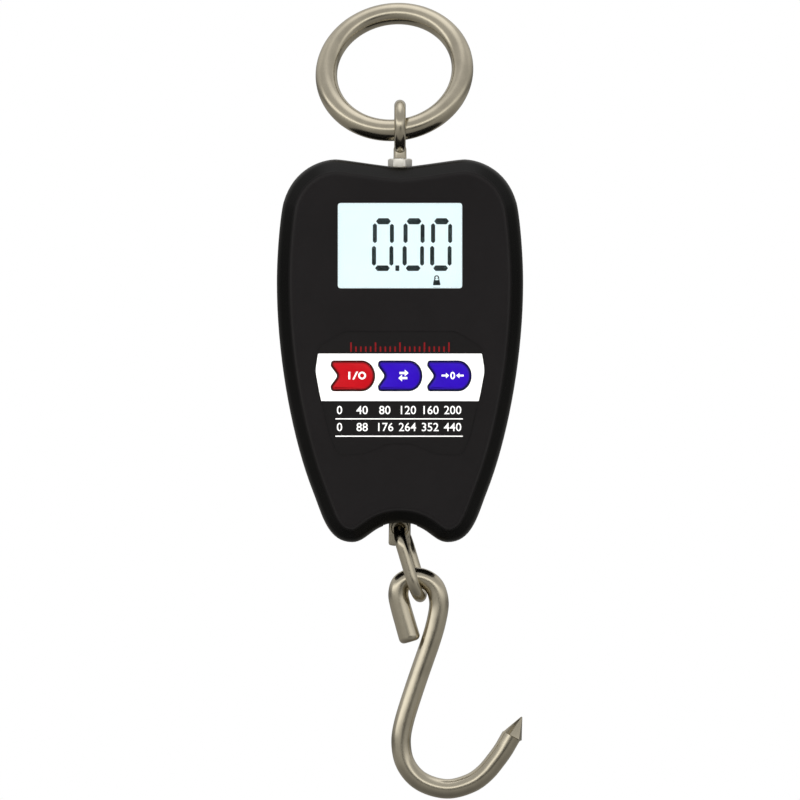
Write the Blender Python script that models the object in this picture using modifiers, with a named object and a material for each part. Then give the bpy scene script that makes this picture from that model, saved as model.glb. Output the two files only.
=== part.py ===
"""Hanging scale with a lift ring, an LCD, three buttons, a load cell and a swinging hook.

Sizes are given in millimetres and turned into metres as the geometry is made.
+X is to the right, +Y into the scale from its face, +Z up. The origin is the point
on the inside of the lift ring where a hook or strap bears.
"""
import math

import bmesh
import bpy
from mathutils import Matrix, Vector
from mathutils.geometry import interpolate_bezier

MM = 0.001
LOAD_Y = -18.84          # plane of the load line, through the middle of the housing
BODY_Z = -97.2           # height of the housing outline's own origin

RING_CENTRE = (-1.65, -8.47, -14.64)
RING_RADIUS = 20.2       # to the middle of the wire
RING_WIRE = 6.4
RING_ROLL = 10.5         # degrees, right side up
RING_LEAN = 31.0         # degrees, top leaning back

EYE_Z = -31.0
EYE_RADIUS = 6.3
EYE_WIRE = 3.4
NUT_TOP = -40.4
NUT_FLATS = 6.2

HOUSING_DEPTH = 28.0
WALL = 2.0
EDGE_BEVEL = 4.5
SEAM_GAP = 0.3
# Right half of the outline: x, z, direction in degrees, handle in, handle out.
OUTLINE = [
    (0.0, 54.27, 0.0, 0.0, 4.1),
    (19.0, 56.5, 0.0, 2.7, 2.8),
    (34.3, 43.9, -73.7, 11.4, 2.9),
    (36.3, 20.1, -90.0, 9.8, 21.1),
    (25.5, -41.8, -111.6, 17.7, 6.9),
    (14.1, -56.3, 180.0, 7.2, 4.6),
    (0.0, -50.67, 180.0, 8.1, 0.0),
]

WINDOW = (36.6, 25.1)
WINDOW_Z = 31.05
LABEL_RECESS = 0.35
# Right half of the label: x, z.
LABEL = [
    (0.0, 5.8), (16.4, 5.8), (20.0, 4.3), (23.2, 1.2), (24.2, -1.0), (25.0, -5.7),
    (23.0, -14.7), (21.5, -21.3), (20.5, -25.1), (18.6, -28.9), (15.6, -30.4),
    (11.7, -30.1), (8.7, -29.1), (4.9, -28.1), (0.0, -27.4),
]
BUTTONS = {"power_button": -13.8, "mode_button": 0.1, "tare_button": 14.6}
BUTTON_Z = -7.3

CELL_WIDTH = 18.8
CELL_THICK = 9.0
CELL_TOP = 49.0
CELL_BOTTOM = -36.0

BATTERY_X = 16.8
BATTERY_RADIUS = 5.25
BATTERY_LENGTH = 44.5
BATTERY_Y = 6.4
BATTERY_Z = 8.0
DOOR_WIDTH = 46.0
DOOR_TOP = 36.0
DOOR_BOTTOM = -20.0
DOOR_THICK = 1.6

SCREW_POINTS = [(-24.6, 44.5), (24.6, 44.5), (-15.5, -43.5), (15.5, -43.5)]
BOARD_SCREWS = [(-26.5, 35.0), (26.5, 35.0), (-22.0, -26.0), (22.0, -26.0)]
BOSS_RADIUS = 3.0

LUG_HOLE_Z = -149.4
LUG_HOLE = 2.4
LUG_THICK = 2.6
# Outline of the lug: x, z from the middle of its hole.
LUG_OUTLINE = [
    (3.15, 9.0), (3.15, -1.4), (2.3, -3.4), (0.4, -4.9), (-1.7, -5.2), (-3.0, -5.0),
    (-3.4, -4.4), (-3.25, 0.0), (-3.15, 9.0),
]
LINK_WIRE = 3.6
LINK_BEND = 5.6
LINK_LENGTH = 20.9
LINK_TILT = 16.6         # degrees, lower end to the right
LINK_TWIST = 9.5         # degrees about its own length, front strand to the left
LINK_DROP = 0.1          # wire middle below the middle of the lug hole
HOOK_WIRE = 5.8
HOOK_PATH = [
    (2.95, -182.2), (1.45, -177.2), (0.1, -172.2), (-0.5, -168.6), (0.75, -165.2),
    (5.3, -163.85), (9.75, -166.0), (11.5, -170.8), (10.9, -176.1), (9.15, -182.5),
    (6.05, -191.4), (3.1, -200.2), (1.0, -207.3), (0.3, -212.9), (1.6, -219.0),
    (6.1, -224.1), (13.7, -226.4), (20.7, -224.7), (25.0, -221.7), (28.0, -218.2), (30.4, -214.9),
    (31.8, -212.5), (32.85, -210.7),
]
POINT_BASE = (33.17, -210.72)
POINT_TIP = (35.95, -205.0)
POINT_RADIUS = 3.2       # to the corners of its hexagonal base
POINT_TURN = 14.0

# Where each moving piece turns about or slides from.
HINGE_RADIUS = 0.8
JOINT_POINTS = {
    "hanging_ring": (0.0, LOAD_Y, -31.9),
    "battery_door": (0.0, LOAD_Y + HOUSING_DEPTH / 2 - HINGE_RADIUS, BODY_Z + DOOR_TOP - HINGE_RADIUS),
    "connecting_link": (0.0, LOAD_Y, LUG_HOLE_Z),
    "load_hook": (5.97, LOAD_Y, -169.53),
}
for button, button_x in BUTTONS.items():
    JOINT_POINTS[button] = (button_x, LOAD_Y - HOUSING_DEPTH / 2, BODY_Z + BUTTON_Z)

CUTTERS = None
PARTS = None


def clear_scene():
    for item in list(bpy.data.objects):
        bpy.data.objects.remove(item, do_unlink=True)


def make_collections():
    global CUTTERS, PARTS
    PARTS = bpy.data.collections.new("hanging_scale")
    CUTTERS = bpy.data.collections.new("cutters")
    bpy.context.scene.collection.children.link(PARTS)
    bpy.context.scene.collection.children.link(CUTTERS)


def material(name, colour, roughness, metallic=0.0, alpha=1.0):
    made = bpy.data.materials.new(name)
    made.use_nodes = True
    shader = made.node_tree.nodes["Principled BSDF"]
    shader.inputs["Base Color"].default_value = (*colour, 1.0)
    shader.inputs["Roughness"].default_value = roughness
    shader.inputs["Metallic"].default_value = metallic
    shader.inputs["Alpha"].default_value = alpha
    return made


def steel(name):
    return material(name, (0.62, 0.58, 0.50), 0.2, 1.0)


def dark_plastic(name):
    return material(name, (0.018, 0.017, 0.018), 0.5)


# ---------------------------------------------------------------- shape helpers

def add_mesh(name, mesh, colour=None, smooth=False):
    item = bpy.data.objects.new(name, mesh)
    if colour is None:
        item.hide_render = True
        item.display_type = "WIRE"
        CUTTERS.objects.link(item)
    else:
        item.data.materials.clear()
        item.data.materials.append(colour)
        PARTS.objects.link(item)
    for face in mesh.polygons:
        face.use_smooth = smooth
    return item


def box(name, low, high, colour=None):
    """A box from its low to its high corner, in millimetres."""
    mesh = bpy.data.meshes.new(name)
    shape = bmesh.new()
    bmesh.ops.create_cube(shape, size=1.0)
    size = [(b - a) * MM for a, b in zip(low, high)]
    middle = [(a + b) / 2 * MM for a, b in zip(low, high)]
    bmesh.ops.scale(shape, vec=size, verts=shape.verts)
    bmesh.ops.translate(shape, vec=middle, verts=shape.verts)
    shape.to_mesh(mesh)
    shape.free()
    return add_mesh(name, mesh, colour)


def cylinder(name, start, end, radius, colour=None, sides=24, turn=0.0):
    """A round or many-sided bar between two points, in millimetres."""
    a = Vector(start) * MM
    b = Vector(end) * MM
    mesh = bpy.data.meshes.new(name)
    shape = bmesh.new()
    bmesh.ops.create_cone(shape, cap_ends=True, segments=sides, radius1=radius * MM,
                          radius2=radius * MM, depth=(b - a).length)
    spin = Matrix.Rotation(math.radians(turn), 4, "Z")
    aim = (b - a).to_track_quat("Z", "Y").to_matrix().to_4x4()
    bmesh.ops.transform(shape, matrix=Matrix.Translation((a + b) / 2) @ aim @ spin, verts=shape.verts)
    shape.to_mesh(mesh)
    shape.free()
    return add_mesh(name, mesh, colour, smooth=sides > 8)


def turned(name, profile, origin, axis, colour, steps=32):
    """A turned shape: the profile lists (radius, height) down its outer side, in millimetres."""
    mesh = bpy.data.meshes.new(name)
    points = [(r * MM, 0.0, h * MM) for r, h in profile]
    mesh.from_pydata(points, [(i, i + 1) for i in range(len(points) - 1)], [])
    item = add_mesh(name, mesh, colour, smooth=True)
    item.matrix_world = frame_at(origin, axis)
    screw = item.modifiers.new("Turn", "SCREW")
    screw.steps = steps
    screw.render_steps = steps
    screw.use_merge_vertices = True
    screw.merge_threshold = 0.00001
    screw.use_smooth_shade = True
    return item


def frame_at(origin, axis):
    aim = Vector(axis).to_track_quat("Z", "Y").to_matrix().to_4x4()
    return Matrix.Translation(Vector(origin) * MM) @ aim


def flat_shape(name, points, y_front, y_back, colour=None):
    """A flat outline in X and Z, filled and given thickness along Y."""
    curve = bpy.data.curves.new(name, "CURVE")
    curve.dimensions = "2D"
    curve.fill_mode = "BOTH"
    curve.extrude = (y_back - y_front) / 2 * MM
    spline = curve.splines.new("POLY")
    spline.points.add(len(points) - 1)
    for spot, (x, z) in zip(spline.points, points):
        spot.co = (x * MM, z * MM, 0.0, 1.0)
    spline.use_cyclic_u = True
    guide = bpy.data.objects.new(name + "_guide", curve)
    PARTS.objects.link(guide)
    bpy.context.view_layer.update()
    mesh = bpy.data.meshes.new_from_object(guide.evaluated_get(bpy.context.evaluated_depsgraph_get()))
    bpy.data.objects.remove(guide, do_unlink=True)
    middle = (y_front + y_back) / 2 * MM
    upright = Matrix.Translation((0.0, middle, 0.0)) @ Matrix.Rotation(math.pi / 2, 4, "X")
    mesh.transform(upright)
    weld(mesh, flat_caps=True)
    return add_mesh(name, mesh, colour)


def weld(mesh, flat_caps=False):
    shape = bmesh.new()
    shape.from_mesh(mesh)
    bmesh.ops.remove_doubles(shape, verts=shape.verts, dist=0.000005)
    if flat_caps:
        bmesh.ops.dissolve_limit(shape, angle_limit=0.001, verts=[], edges=shape.edges)
    bmesh.ops.recalc_face_normals(shape, faces=shape.faces)
    shape.to_mesh(mesh)
    shape.free()


def heading(degrees):
    return Vector((math.cos(math.radians(degrees)), math.sin(math.radians(degrees))))


def housing_outline(inset):
    """Points of the whole housing outline, clockwise from the top, moved inwards by the inset."""
    half = []
    for a, b in zip(OUTLINE, OUTLINE[1:]):
        start = Vector(a[:2])
        end = Vector(b[:2])
        first = start + heading(a[2]) * a[4]
        second = end - heading(b[2]) * b[3]
        knots = [p.to_3d() for p in (start, first, second, end)]
        half += [p.to_2d() for p in interpolate_bezier(*knots, 8)][:-1]
    half.append(Vector(OUTLINE[-1][:2]))
    points = half + [Vector((-p.x, p.y)) for p in reversed(half[1:-1])]
    moved = []
    for before, here, after in zip([points[-1]] + points[:-1], points, points[1:] + [points[0]]):
        along = (after - before).normalized()
        inner = here + Vector((along.y, -along.x)) * inset
        moved.append((inner.x, inner.y + BODY_Z))
    return moved


def mirrored(points):
    """A whole outline from its right half."""
    left = [(-x, z) for x, z in reversed(points) if x > 0.0]
    return [(x, z + BODY_Z) for x, z in points] + [(x, z + BODY_Z) for x, z in left]


def soften(item, width, steps=2, angle=35.0):
    bevel = item.modifiers.new("Edges", "BEVEL")
    bevel.width = width * MM
    bevel.segments = steps
    bevel.limit_method = "ANGLE"
    bevel.angle_limit = math.radians(angle)
    bevel.use_clamp_overlap = True
    return item


def cut(item, tool):
    change(item, tool, "DIFFERENCE")


def join(item, tool):
    change(item, tool, "UNION")


def change(item, tool, operation):
    step = item.modifiers.new(tool.name, "BOOLEAN")
    step.operation = operation
    step.solver = "EXACT"
    step.object = tool


def wire_mesh(name, points, radius, closed=False, sides=12):
    """A round wire through the points, in millimetres, as a closed mesh."""
    curve = bpy.data.curves.new(name, "CURVE")
    curve.dimensions = "3D"
    curve.bevel_depth = radius * MM
    curve.bevel_resolution = max(0, sides // 2 - 2)
    curve.use_fill_caps = not closed
    spline = curve.splines.new("POLY")
    spline.points.add(len(points) - 1)
    for spot, point in zip(spline.points, points):
        spot.co = (point[0] * MM, point[1] * MM, point[2] * MM, 1.0)
    spline.use_cyclic_u = closed
    guide = bpy.data.objects.new(name + "_guide", curve)
    PARTS.objects.link(guide)
    bpy.context.view_layer.update()
    mesh = bpy.data.meshes.new_from_object(guide.evaluated_get(bpy.context.evaluated_depsgraph_get()))
    bpy.data.objects.remove(guide, do_unlink=True)
    weld(mesh)
    return mesh


def wire(name, points, radius, colour, closed=False, sides=12):
    return add_mesh(name, wire_mesh(name, points, radius, closed, sides), colour, smooth=True)


def smooth_path(points, per_span):
    """Catmull-Rom points through the given ones."""
    path = []
    padded = [points[0]] + list(points) + [points[-1]]
    for a, b, c, d in zip(padded, padded[1:], padded[2:], padded[3:]):
        for step in range(per_span):
            t = step / per_span
            spot = []
            for p, q, r, s in zip(a, b, c, d):
                square = 2 * p - 5 * q + 4 * r - s
                cube = 3 * q - p - 3 * r + s
                spot.append(0.5 * (2 * q + (r - p) * t + square * t * t + cube * t ** 3))
            path.append(tuple(spot))
    path.append(tuple(points[-1]))
    return path


def circle_points(centre, u, v, radius, count):
    centre = Vector(centre)
    turns = [2 * math.pi * i / count for i in range(count)]
    return [centre + Vector(u) * radius * math.cos(t) + Vector(v) * radius * math.sin(t) for t in turns]


# ---------------------------------------------------------------- hanging fittings

def lift_ring():
    roll = math.radians(RING_ROLL)
    lean = math.radians(RING_LEAN)
    u = (math.cos(roll), 0.0, math.sin(roll))
    v = (-math.sin(roll) * math.cos(lean), math.sin(lean), math.cos(roll) * math.cos(lean))
    points = circle_points(RING_CENTRE, u, v, RING_RADIUS, 48)
    wire("hanging_ring", points, RING_WIRE / 2, steel("hanging_ring"), closed=True, sides=12)


def eye_bolt():
    loop = circle_points((0, LOAD_Y, EYE_Z), (0, 1, 0), (0, 0, 1), EYE_RADIUS, 28)
    item = wire("eye_bolt", loop, EYE_WIRE / 2, steel("eye_bolt"), closed=True, sides=12)
    shank_top = EYE_Z - EYE_RADIUS - 0.2
    shank_end = BODY_Z + CELL_TOP - 9.0
    join(item, cylinder("eye_shank", (0, LOAD_Y, shank_end), (0, LOAD_Y, shank_top), 2.0, sides=16))
    nut = cylinder("eye_bolt_nut", (0, LOAD_Y, NUT_TOP - 2.6), (0, LOAD_Y, NUT_TOP),
                   NUT_FLATS / math.sqrt(3), steel("eye_bolt_nut"), sides=6, turn=26)
    cut(nut, cylinder("nut_bore", (0, LOAD_Y, NUT_TOP - 4), (0, LOAD_Y, NUT_TOP + 1), 2.3, sides=24))
    washer = cylinder("eye_bolt_washer", (0, LOAD_Y, NUT_TOP - 3.6), (0, LOAD_Y, NUT_TOP - 2.9),
                      4.2, steel("eye_bolt_washer"), sides=28)
    cut(washer, cylinder("washer_bore", (0, LOAD_Y, NUT_TOP - 5), (0, LOAD_Y, NUT_TOP + 1), 2.4, sides=24))


def load_cell():
    top = BODY_Z + CELL_TOP
    bottom = BODY_Z + CELL_BOTTOM
    half = CELL_WIDTH / 2
    y0 = LOAD_Y - CELL_THICK / 2
    y1 = LOAD_Y + CELL_THICK / 2
    metal = material("load_cell", (0.72, 0.73, 0.74), 0.35, 1.0)
    item = box("load_cell", (-half, y0, bottom), (half, y1, top), metal)
    middle = (top + bottom) / 2
    for side, level in ((1, middle + 17.0), (-1, middle - 17.0)):
        low = (-half - 1, y0 - 1, level - 1.0)
        high = (half - 4.5, y1 + 1, level + 1.0)
        if side < 0:
            low, high = (-half + 4.5, low[1], low[2]), (half + 1, high[1], high[2])
        cut(item, box("cell_slot_%d" % side, low, high))
    cut(item, cylinder("cell_window_a", (0, y0 - 1, middle + 3.2), (0, y1 + 1, middle + 3.2), 5.2, sides=28))
    cut(item, cylinder("cell_window_b", (0, y0 - 1, middle - 3.2), (0, y1 + 1, middle - 3.2), 5.2, sides=28))
    cut(item, cylinder("cell_bore_top", (0, LOAD_Y, top - 10), (0, LOAD_Y, top + 2), 2.3, sides=20))
    cut(item, cylinder("cell_bore_low", (0, LOAD_Y, bottom - 2), (0, LOAD_Y, bottom + 10), 2.3, sides=20))
    for side in (-1, 1):
        name = "strain_gauge_left" if side < 0 else "strain_gauge_right"
        x = side * (half + 0.35)
        low = (x - 0.15, LOAD_Y - 2.5, middle - 4.5)
        high = (x + 0.15, LOAD_Y + 2.5, middle + 4.5)
        box(name, low, high, material(name, (0.75, 0.45, 0.12), 0.4))


def lower_lug():
    z = LUG_HOLE_Z
    half = LUG_THICK / 2
    outline = [(x, z + dz) for x, dz in LUG_OUTLINE]
    item = flat_shape("lower_lug", outline, LOAD_Y - half, LOAD_Y + half, steel("lower_lug"))
    stud_end = BODY_Z + CELL_BOTTOM + 9.0
    join(item, cylinder("lug_stud", (0, LOAD_Y, z + 8.5), (0, LOAD_Y, stud_end), 1.75, sides=16))
    cut(item, cylinder("lug_hole", (0, LOAD_Y - 3, z), (0, LOAD_Y + 3, z), LUG_HOLE, sides=32))
    low = z + 9.6
    nut = cylinder("lug_nut", (0, LOAD_Y, low), (0, LOAD_Y, low + 3.0), 4.0, steel("lug_nut"), sides=6)
    cut(nut, cylinder("lug_nut_bore", (0, LOAD_Y, low - 1), (0, LOAD_Y, low + 4), 2.1, sides=24))


def connecting_link():
    tilt = math.radians(LINK_TILT)
    twist = math.radians(LINK_TWIST)
    down = Vector((math.sin(tilt), 0.0, -math.cos(tilt)))
    side = Vector((math.cos(tilt), 0.0, math.sin(tilt)))
    across = Vector((0.0, 1.0, 0.0)) * math.cos(twist) + side * math.sin(twist)
    start = Vector((0.0, LOAD_Y, LUG_HOLE_Z - LINK_DROP))
    top = start + down * LINK_BEND
    low = start + down * (LINK_LENGTH - LINK_BEND)
    points = []
    for i in range(15):
        turn = math.pi * i / 14
        points.append(top + LINK_BEND * (across * math.cos(turn) - down * math.sin(turn)))
    for i in range(15):
        turn = math.pi * i / 14
        points.append(low + LINK_BEND * (-across * math.cos(turn) + down * math.sin(turn)))
    wire("connecting_link", points, LINK_WIRE / 2, steel("connecting_link"), closed=True, sides=12)


def load_hook():
    points = [(x, LOAD_Y, z) for x, z in smooth_path(HOOK_PATH, 3)]
    item = wire("load_hook", points, HOOK_WIRE / 2, steel("load_hook"), sides=12)
    base = Vector((POINT_BASE[0], LOAD_Y, POINT_BASE[1])) * MM
    tip = Vector((POINT_TIP[0], LOAD_Y, POINT_TIP[1])) * MM
    aim = (tip - base).to_track_quat("Z", "Y").to_matrix().to_4x4()
    turn = Matrix.Rotation(math.radians(POINT_TURN), 4, "Z")
    mesh = bpy.data.meshes.new("hook_point")
    shape = bmesh.new()
    bmesh.ops.create_cone(shape, cap_ends=True, segments=6, radius1=POINT_RADIUS * MM, radius2=0.2 * MM,
                          depth=(tip - base).length)
    bmesh.ops.transform(shape, matrix=Matrix.Translation((base + tip) / 2) @ aim @ turn, verts=shape.verts)
    shape.to_mesh(mesh)
    shape.free()
    join(item, add_mesh("hook_point", mesh))


# ---------------------------------------------------------------- housing

def housing_half(name, y_face, y_seam):
    """One rounded shell of the housing, open at the seam."""
    inward = 1 if y_seam > y_face else -1
    seam = abs(y_seam - y_face)
    hollow = EDGE_BEVEL - WALL
    turns = [math.radians(a) for a in (0.0, 22.5, 45.0, 67.5, 90.0)]
    rings = [(EDGE_BEVEL * (1 - math.sin(a)), EDGE_BEVEL * (1 - math.cos(a))) for a in turns]
    rings += [(0.0, seam), (WALL, seam)]
    rings += [(EDGE_BEVEL - hollow * math.sin(a), EDGE_BEVEL - hollow * math.cos(a)) for a in turns[4::-2]]
    shape = bmesh.new()
    loops = []
    for inset, depth in rings:
        y = (y_face + inward * depth) * MM
        loops.append([shape.verts.new((x * MM, y, z * MM)) for x, z in housing_outline(inset)])
    shape.faces.new(loops[0])
    shape.faces.new(loops[-1])
    for near, far in zip(loops, loops[1:]):
        for i in range(len(near)):
            j = (i + 1) % len(near)
            shape.faces.new((near[i], near[j], far[j], far[i]))
    bmesh.ops.recalc_face_normals(shape, faces=shape.faces)
    mesh = bpy.data.meshes.new(name)
    shape.to_mesh(mesh)
    shape.free()
    return add_mesh(name, mesh, dark_plastic(name))


def front_housing():
    y_face = LOAD_Y - HOUSING_DEPTH / 2
    y_seam = LOAD_Y - SEAM_GAP / 2
    item = housing_half("front_housing", y_face, y_seam)
    x = WINDOW[0] / 2
    z = WINDOW[1] / 2
    middle = BODY_Z + WINDOW_Z
    opening = box("window_cut", (-x, y_face - 1, middle - z), (x, y_face + WALL + 1, middle + z))
    cut(item, opening)
    recess = flat_shape("label_recess", mirrored(LABEL), y_face - 1.0, y_face + LABEL_RECESS)
    cut(item, recess)
    for name, x in BUTTONS.items():
        cut(item, flat_shape(name + "_cut", button_outline(x, 0.35), y_face - 1, y_face + WALL + 1))
    for i, (x, z) in enumerate(SCREW_POINTS):
        spot = z + BODY_Z
        foot = (x, y_face + 1.2, spot)
        post = cylinder("front_boss_%d" % i, foot, (x, y_seam - 0.3, spot), BOSS_RADIUS, sides=18)
        cut(post, cylinder("front_pilot_%d" % i, (x, y_face + 4, spot), (x, y_seam + 2, spot), 1.5, sides=14))
        join(item, post)
    for i, (x, z) in enumerate(BOARD_SCREWS):
        spot = z + BODY_Z
        post = cylinder("board_post_%d" % i, (x, y_face + 1.2, spot), (x, y_face + 6.7, spot), 2.4, sides=14)
        pilot = cylinder("board_pilot_%d" % i, (x, y_face + 3.5, spot), (x, y_face + 8.0, spot), 1.2, sides=12)
        cut(post, pilot)
        join(item, post)
    end_openings(item, "front")


def end_openings(item, half):
    """The hole for the eye bolt's nut and the slot for the lower lug, shared by both halves."""
    top = BODY_Z + 48.0
    cut(item, cylinder(half + "_top_hole", (0, LOAD_Y, top), (0, LOAD_Y, top + 12), 4.9, sides=32))
    low = BODY_Z - 56.0
    cut(item, box(half + "_low_slot", (-5.0, LOAD_Y - 8.5, low), (5.0, LOAD_Y + 8.5, low + 12)))


def rear_housing():
    y_face = LOAD_Y + HOUSING_DEPTH / 2
    y_seam = LOAD_Y + SEAM_GAP / 2
    item = housing_half("rear_housing", y_face, y_seam)
    half = DOOR_WIDTH / 2 + 0.4
    low = BODY_Z + DOOR_BOTTOM - 0.4
    high = BODY_Z + DOOR_TOP + 0.4
    cut(item, box("door_cut", (-half, y_face - WALL - 1, low), (half, y_face + 1, high)))
    for i, (x, z) in enumerate(SCREW_POINTS):
        spot = z + BODY_Z
        radius = BOSS_RADIUS + 0.6
        foot = (x, y_face - 1.2, spot)
        post = cylinder("rear_boss_%d" % i, (x, y_seam + 0.3, spot), foot, radius, sides=18)
        join(item, post)
        cut(item, cylinder("rear_bore_%d" % i, (x, y_seam - 2, spot), (x, y_face + 2, spot), 1.6, sides=14))
        cut(item, cylinder("rear_sink_%d" % i, (x, y_face - 6, spot), (x, y_face + 2, spot), 2.8, sides=20))
        screw("housing_screw_%d" % (i + 1), (x, y_face - 5.9, spot), 2.4, 1.8, 1.15, 13.0)
    end_openings(item, "rear")


def screw(name, seat, head_radius, head_height, shank_radius, length):
    """A pan-head screw whose head faces the back, driven towards the front."""
    profile = [(0.0, head_height), (head_radius * 0.75, head_height), (head_radius, head_height * 0.6),
               (head_radius, 0.0), (shank_radius, 0.0), (shank_radius, 1.0 - length), (0.0, -length)]
    item = turned(name, profile, seat, (0, 1, 0), steel(name), steps=12)
    x, y, z = seat
    top = y + head_height
    slot = 0.35
    reach = head_radius * 0.62
    for kind, (dx, dz) in (("a", (slot, reach)), ("b", (reach, slot))):
        cut(item, box(name + "_slot_" + kind, (x - dx, top - 0.8, z - dz), (x + dx, top + 1, z + dz)))


# ---------------------------------------------------------------- display and keys

def button_outline(x, grow=0.0):
    """Rounded end on the right, notched on the left."""
    half_w = 6.3 + grow
    half_h = 4.35 + grow
    z = BODY_Z + BUTTON_Z
    points = [(-half_w + 0.7, half_h), (1.2, half_h), (3.6, half_h * 0.86), (5.5, half_h * 0.5),
              (half_w, 0.0),
              (5.5, -half_h * 0.5), (3.6, -half_h * 0.86), (1.2, -half_h), (-half_w + 0.7, -half_h),
              (-half_w, -half_h + 0.8), (-half_w + 1.9, 0.0), (-half_w, half_h - 0.8)]
    return [(x + px, z + pz) for px, pz in points]


def display():
    y_face = LOAD_Y - HOUSING_DEPTH / 2
    w = WINDOW[0] / 2
    h = WINDOW[1] / 2
    z = BODY_Z + WINDOW_Z
    pane = material("lcd_window", (0.92, 0.96, 0.97), 0.05, alpha=0.25)
    low = (-w + 0.15, y_face + 0.25, z - h + 0.15)
    high = (w - 0.15, y_face + 1.4, z + h - 0.15)
    soften(box("lcd_window", low, high, pane), 0.15, 1)
    frame_colour = material("lcd_bezel", (0.015, 0.015, 0.016), 0.5)
    y = y_face + WALL + 0.3
    bezel = box("lcd_bezel", (-w - 2.9, y, z - h - 2.9), (w + 2.9, y + 2.6, z + h + 2.9), frame_colour)
    cut(bezel, box("bezel_hole", (-w, y - 1, z - h), (w, y + 1.0, z + h)))
    cut(bezel, box("bezel_pocket", (-w - 2.0, y + 0.7, z - h - 2.0), (w + 2.0, y + 4.0, z + h + 2.0)))
    glass = material("lcd_panel", (0.80, 0.93, 0.95), 0.2)
    box("lcd_panel", (-w - 1.7, y + 1.0, z - h - 1.7), (w + 1.7, y + 2.3, z + h + 1.7), glass)
    light = material("backlight_plate", (0.95, 0.97, 1.0), 0.4)
    box("backlight_plate", (-w - 1.7, y + 2.8, z - h - 1.7), (w + 1.7, y + 4.3, z + h + 1.7), light)


def keypad():
    y_face = LOAD_Y - HOUSING_DEPTH / 2
    film = material("keypad_label", (0.03, 0.03, 0.03), 0.45)
    y_back = y_face + LABEL_RECESS - 0.02
    sheet = flat_shape("keypad_label", shrunk(mirrored(LABEL), 0.15), y_face + 0.05, y_back, film)
    blue = (0.03, 0.002, 0.45)
    colours = {"power_button": (0.6, 0.003, 0.007), "mode_button": blue, "tare_button": blue}
    z = BODY_Z + BUTTON_Z
    for name, x in BUTTONS.items():
        cut(sheet, flat_shape(name + "_sheet_cut", button_outline(x, 0.35), y_face - 1, y_face + 2))
        colour = material(name, colours[name], 0.2)
        key = flat_shape(name, button_outline(x), y_face - 0.55, y_face + 1.7, colour)
        soften(key, 0.4, 2, 50.0)
        join(key, cylinder(name + "_stem", (x, y_face + 1.2, z), (x, y_face + 4.4, z), 1.8, sides=18))
        low = (x - 3.0, y_face + 5.1, z - 3.0)
        high = (x + 3.0, y_face + 6.65, z + 3.0)
        box(name + "_switch", low, high, dark_plastic(name + "_switch"))
        item = bpy.data.objects[name + "_switch"]
        join(item, cylinder(name + "_plunger", (x, y_face + 5.05, z), (x, y_face + 6.0, z), 1.5, sides=16))


def shrunk(points, gap):
    """The same outline drawn in towards its middle by about the gap."""
    mx = sum(x for x, z in points) / len(points)
    mz = sum(z for x, z in points) / len(points)
    far_x = max(abs(x - mx) for x, z in points)
    far_z = max(abs(z - mz) for x, z in points)
    return [(mx + (x - mx) * (1 - gap / far_x), mz + (z - mz) * (1 - gap / far_z)) for x, z in points]


def circuit_board():
    y_front = LOAD_Y - HOUSING_DEPTH / 2 + 7.0
    green = material("circuit_board", (0.01, 0.14, 0.05), 0.4)
    outline = [(30.0, 46.0), (31.0, 20.0), (29.5, 0.0), (25.0, -30.0), (-25.0, -30.0), (-29.5, 0.0),
               (-31.0, 20.0), (-30.0, 46.0), (-12.0, 46.0), (-12.0, 46.5), (12.0, 46.5), (12.0, 46.0)]
    outline = [(x * 0.98, z + BODY_Z) for x, z in outline]
    board = flat_shape("circuit_board", outline, y_front, y_front + 1.4, green)
    for i, (x, z) in enumerate(SCREW_POINTS):
        spot = z + BODY_Z
        start = (x, y_front - 3, spot)
        end = (x, y_front + 4, spot)
        cut(board, cylinder("board_relief_%d" % i, start, end, 4.1, sides=20))
    for i, (x, z) in enumerate(BOARD_SCREWS):
        spot = z + BODY_Z
        start = (x, y_front - 3, spot)
        end = (x, y_front + 4, spot)
        cut(board, cylinder("board_hole_%d" % i, start, end, 1.3, sides=14))
        screw("board_screw_%d" % (i + 1), (x, y_front + 1.7, spot), 1.9, 1.0, 0.9, 4.6)
    chip = material("main_chip", (0.02, 0.02, 0.02), 0.5)
    box("main_chip", (-21.0, y_front + 1.7, BODY_Z - 6.0), (-13.0, y_front + 3.2, BODY_Z + 2.0), chip)
    strip = material("display_connector", (0.85, 0.83, 0.75), 0.5)
    low = (-14.0, y_front - 2.3, BODY_Z + 10.0)
    high = (14.0, y_front - 0.3, BODY_Z + 12.8)
    box("display_connector", low, high, strip)


def cell_cable():
    start = (-11.4, LOAD_Y - 0.5, BODY_Z + 10.0)
    points = [start, (-13.0, LOAD_Y - 1.2, BODY_Z + 5.0), (-12.8, LOAD_Y - 3.2, BODY_Z - 6.0),
              (-12.2, LOAD_Y - 4.6, BODY_Z - 12.0)]
    wire("cell_cable", smooth_path(points, 5), 0.7, material("cell_cable", (0.3, 0.3, 0.3), 0.6), sides=6)


# ---------------------------------------------------------------- batteries

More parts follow.
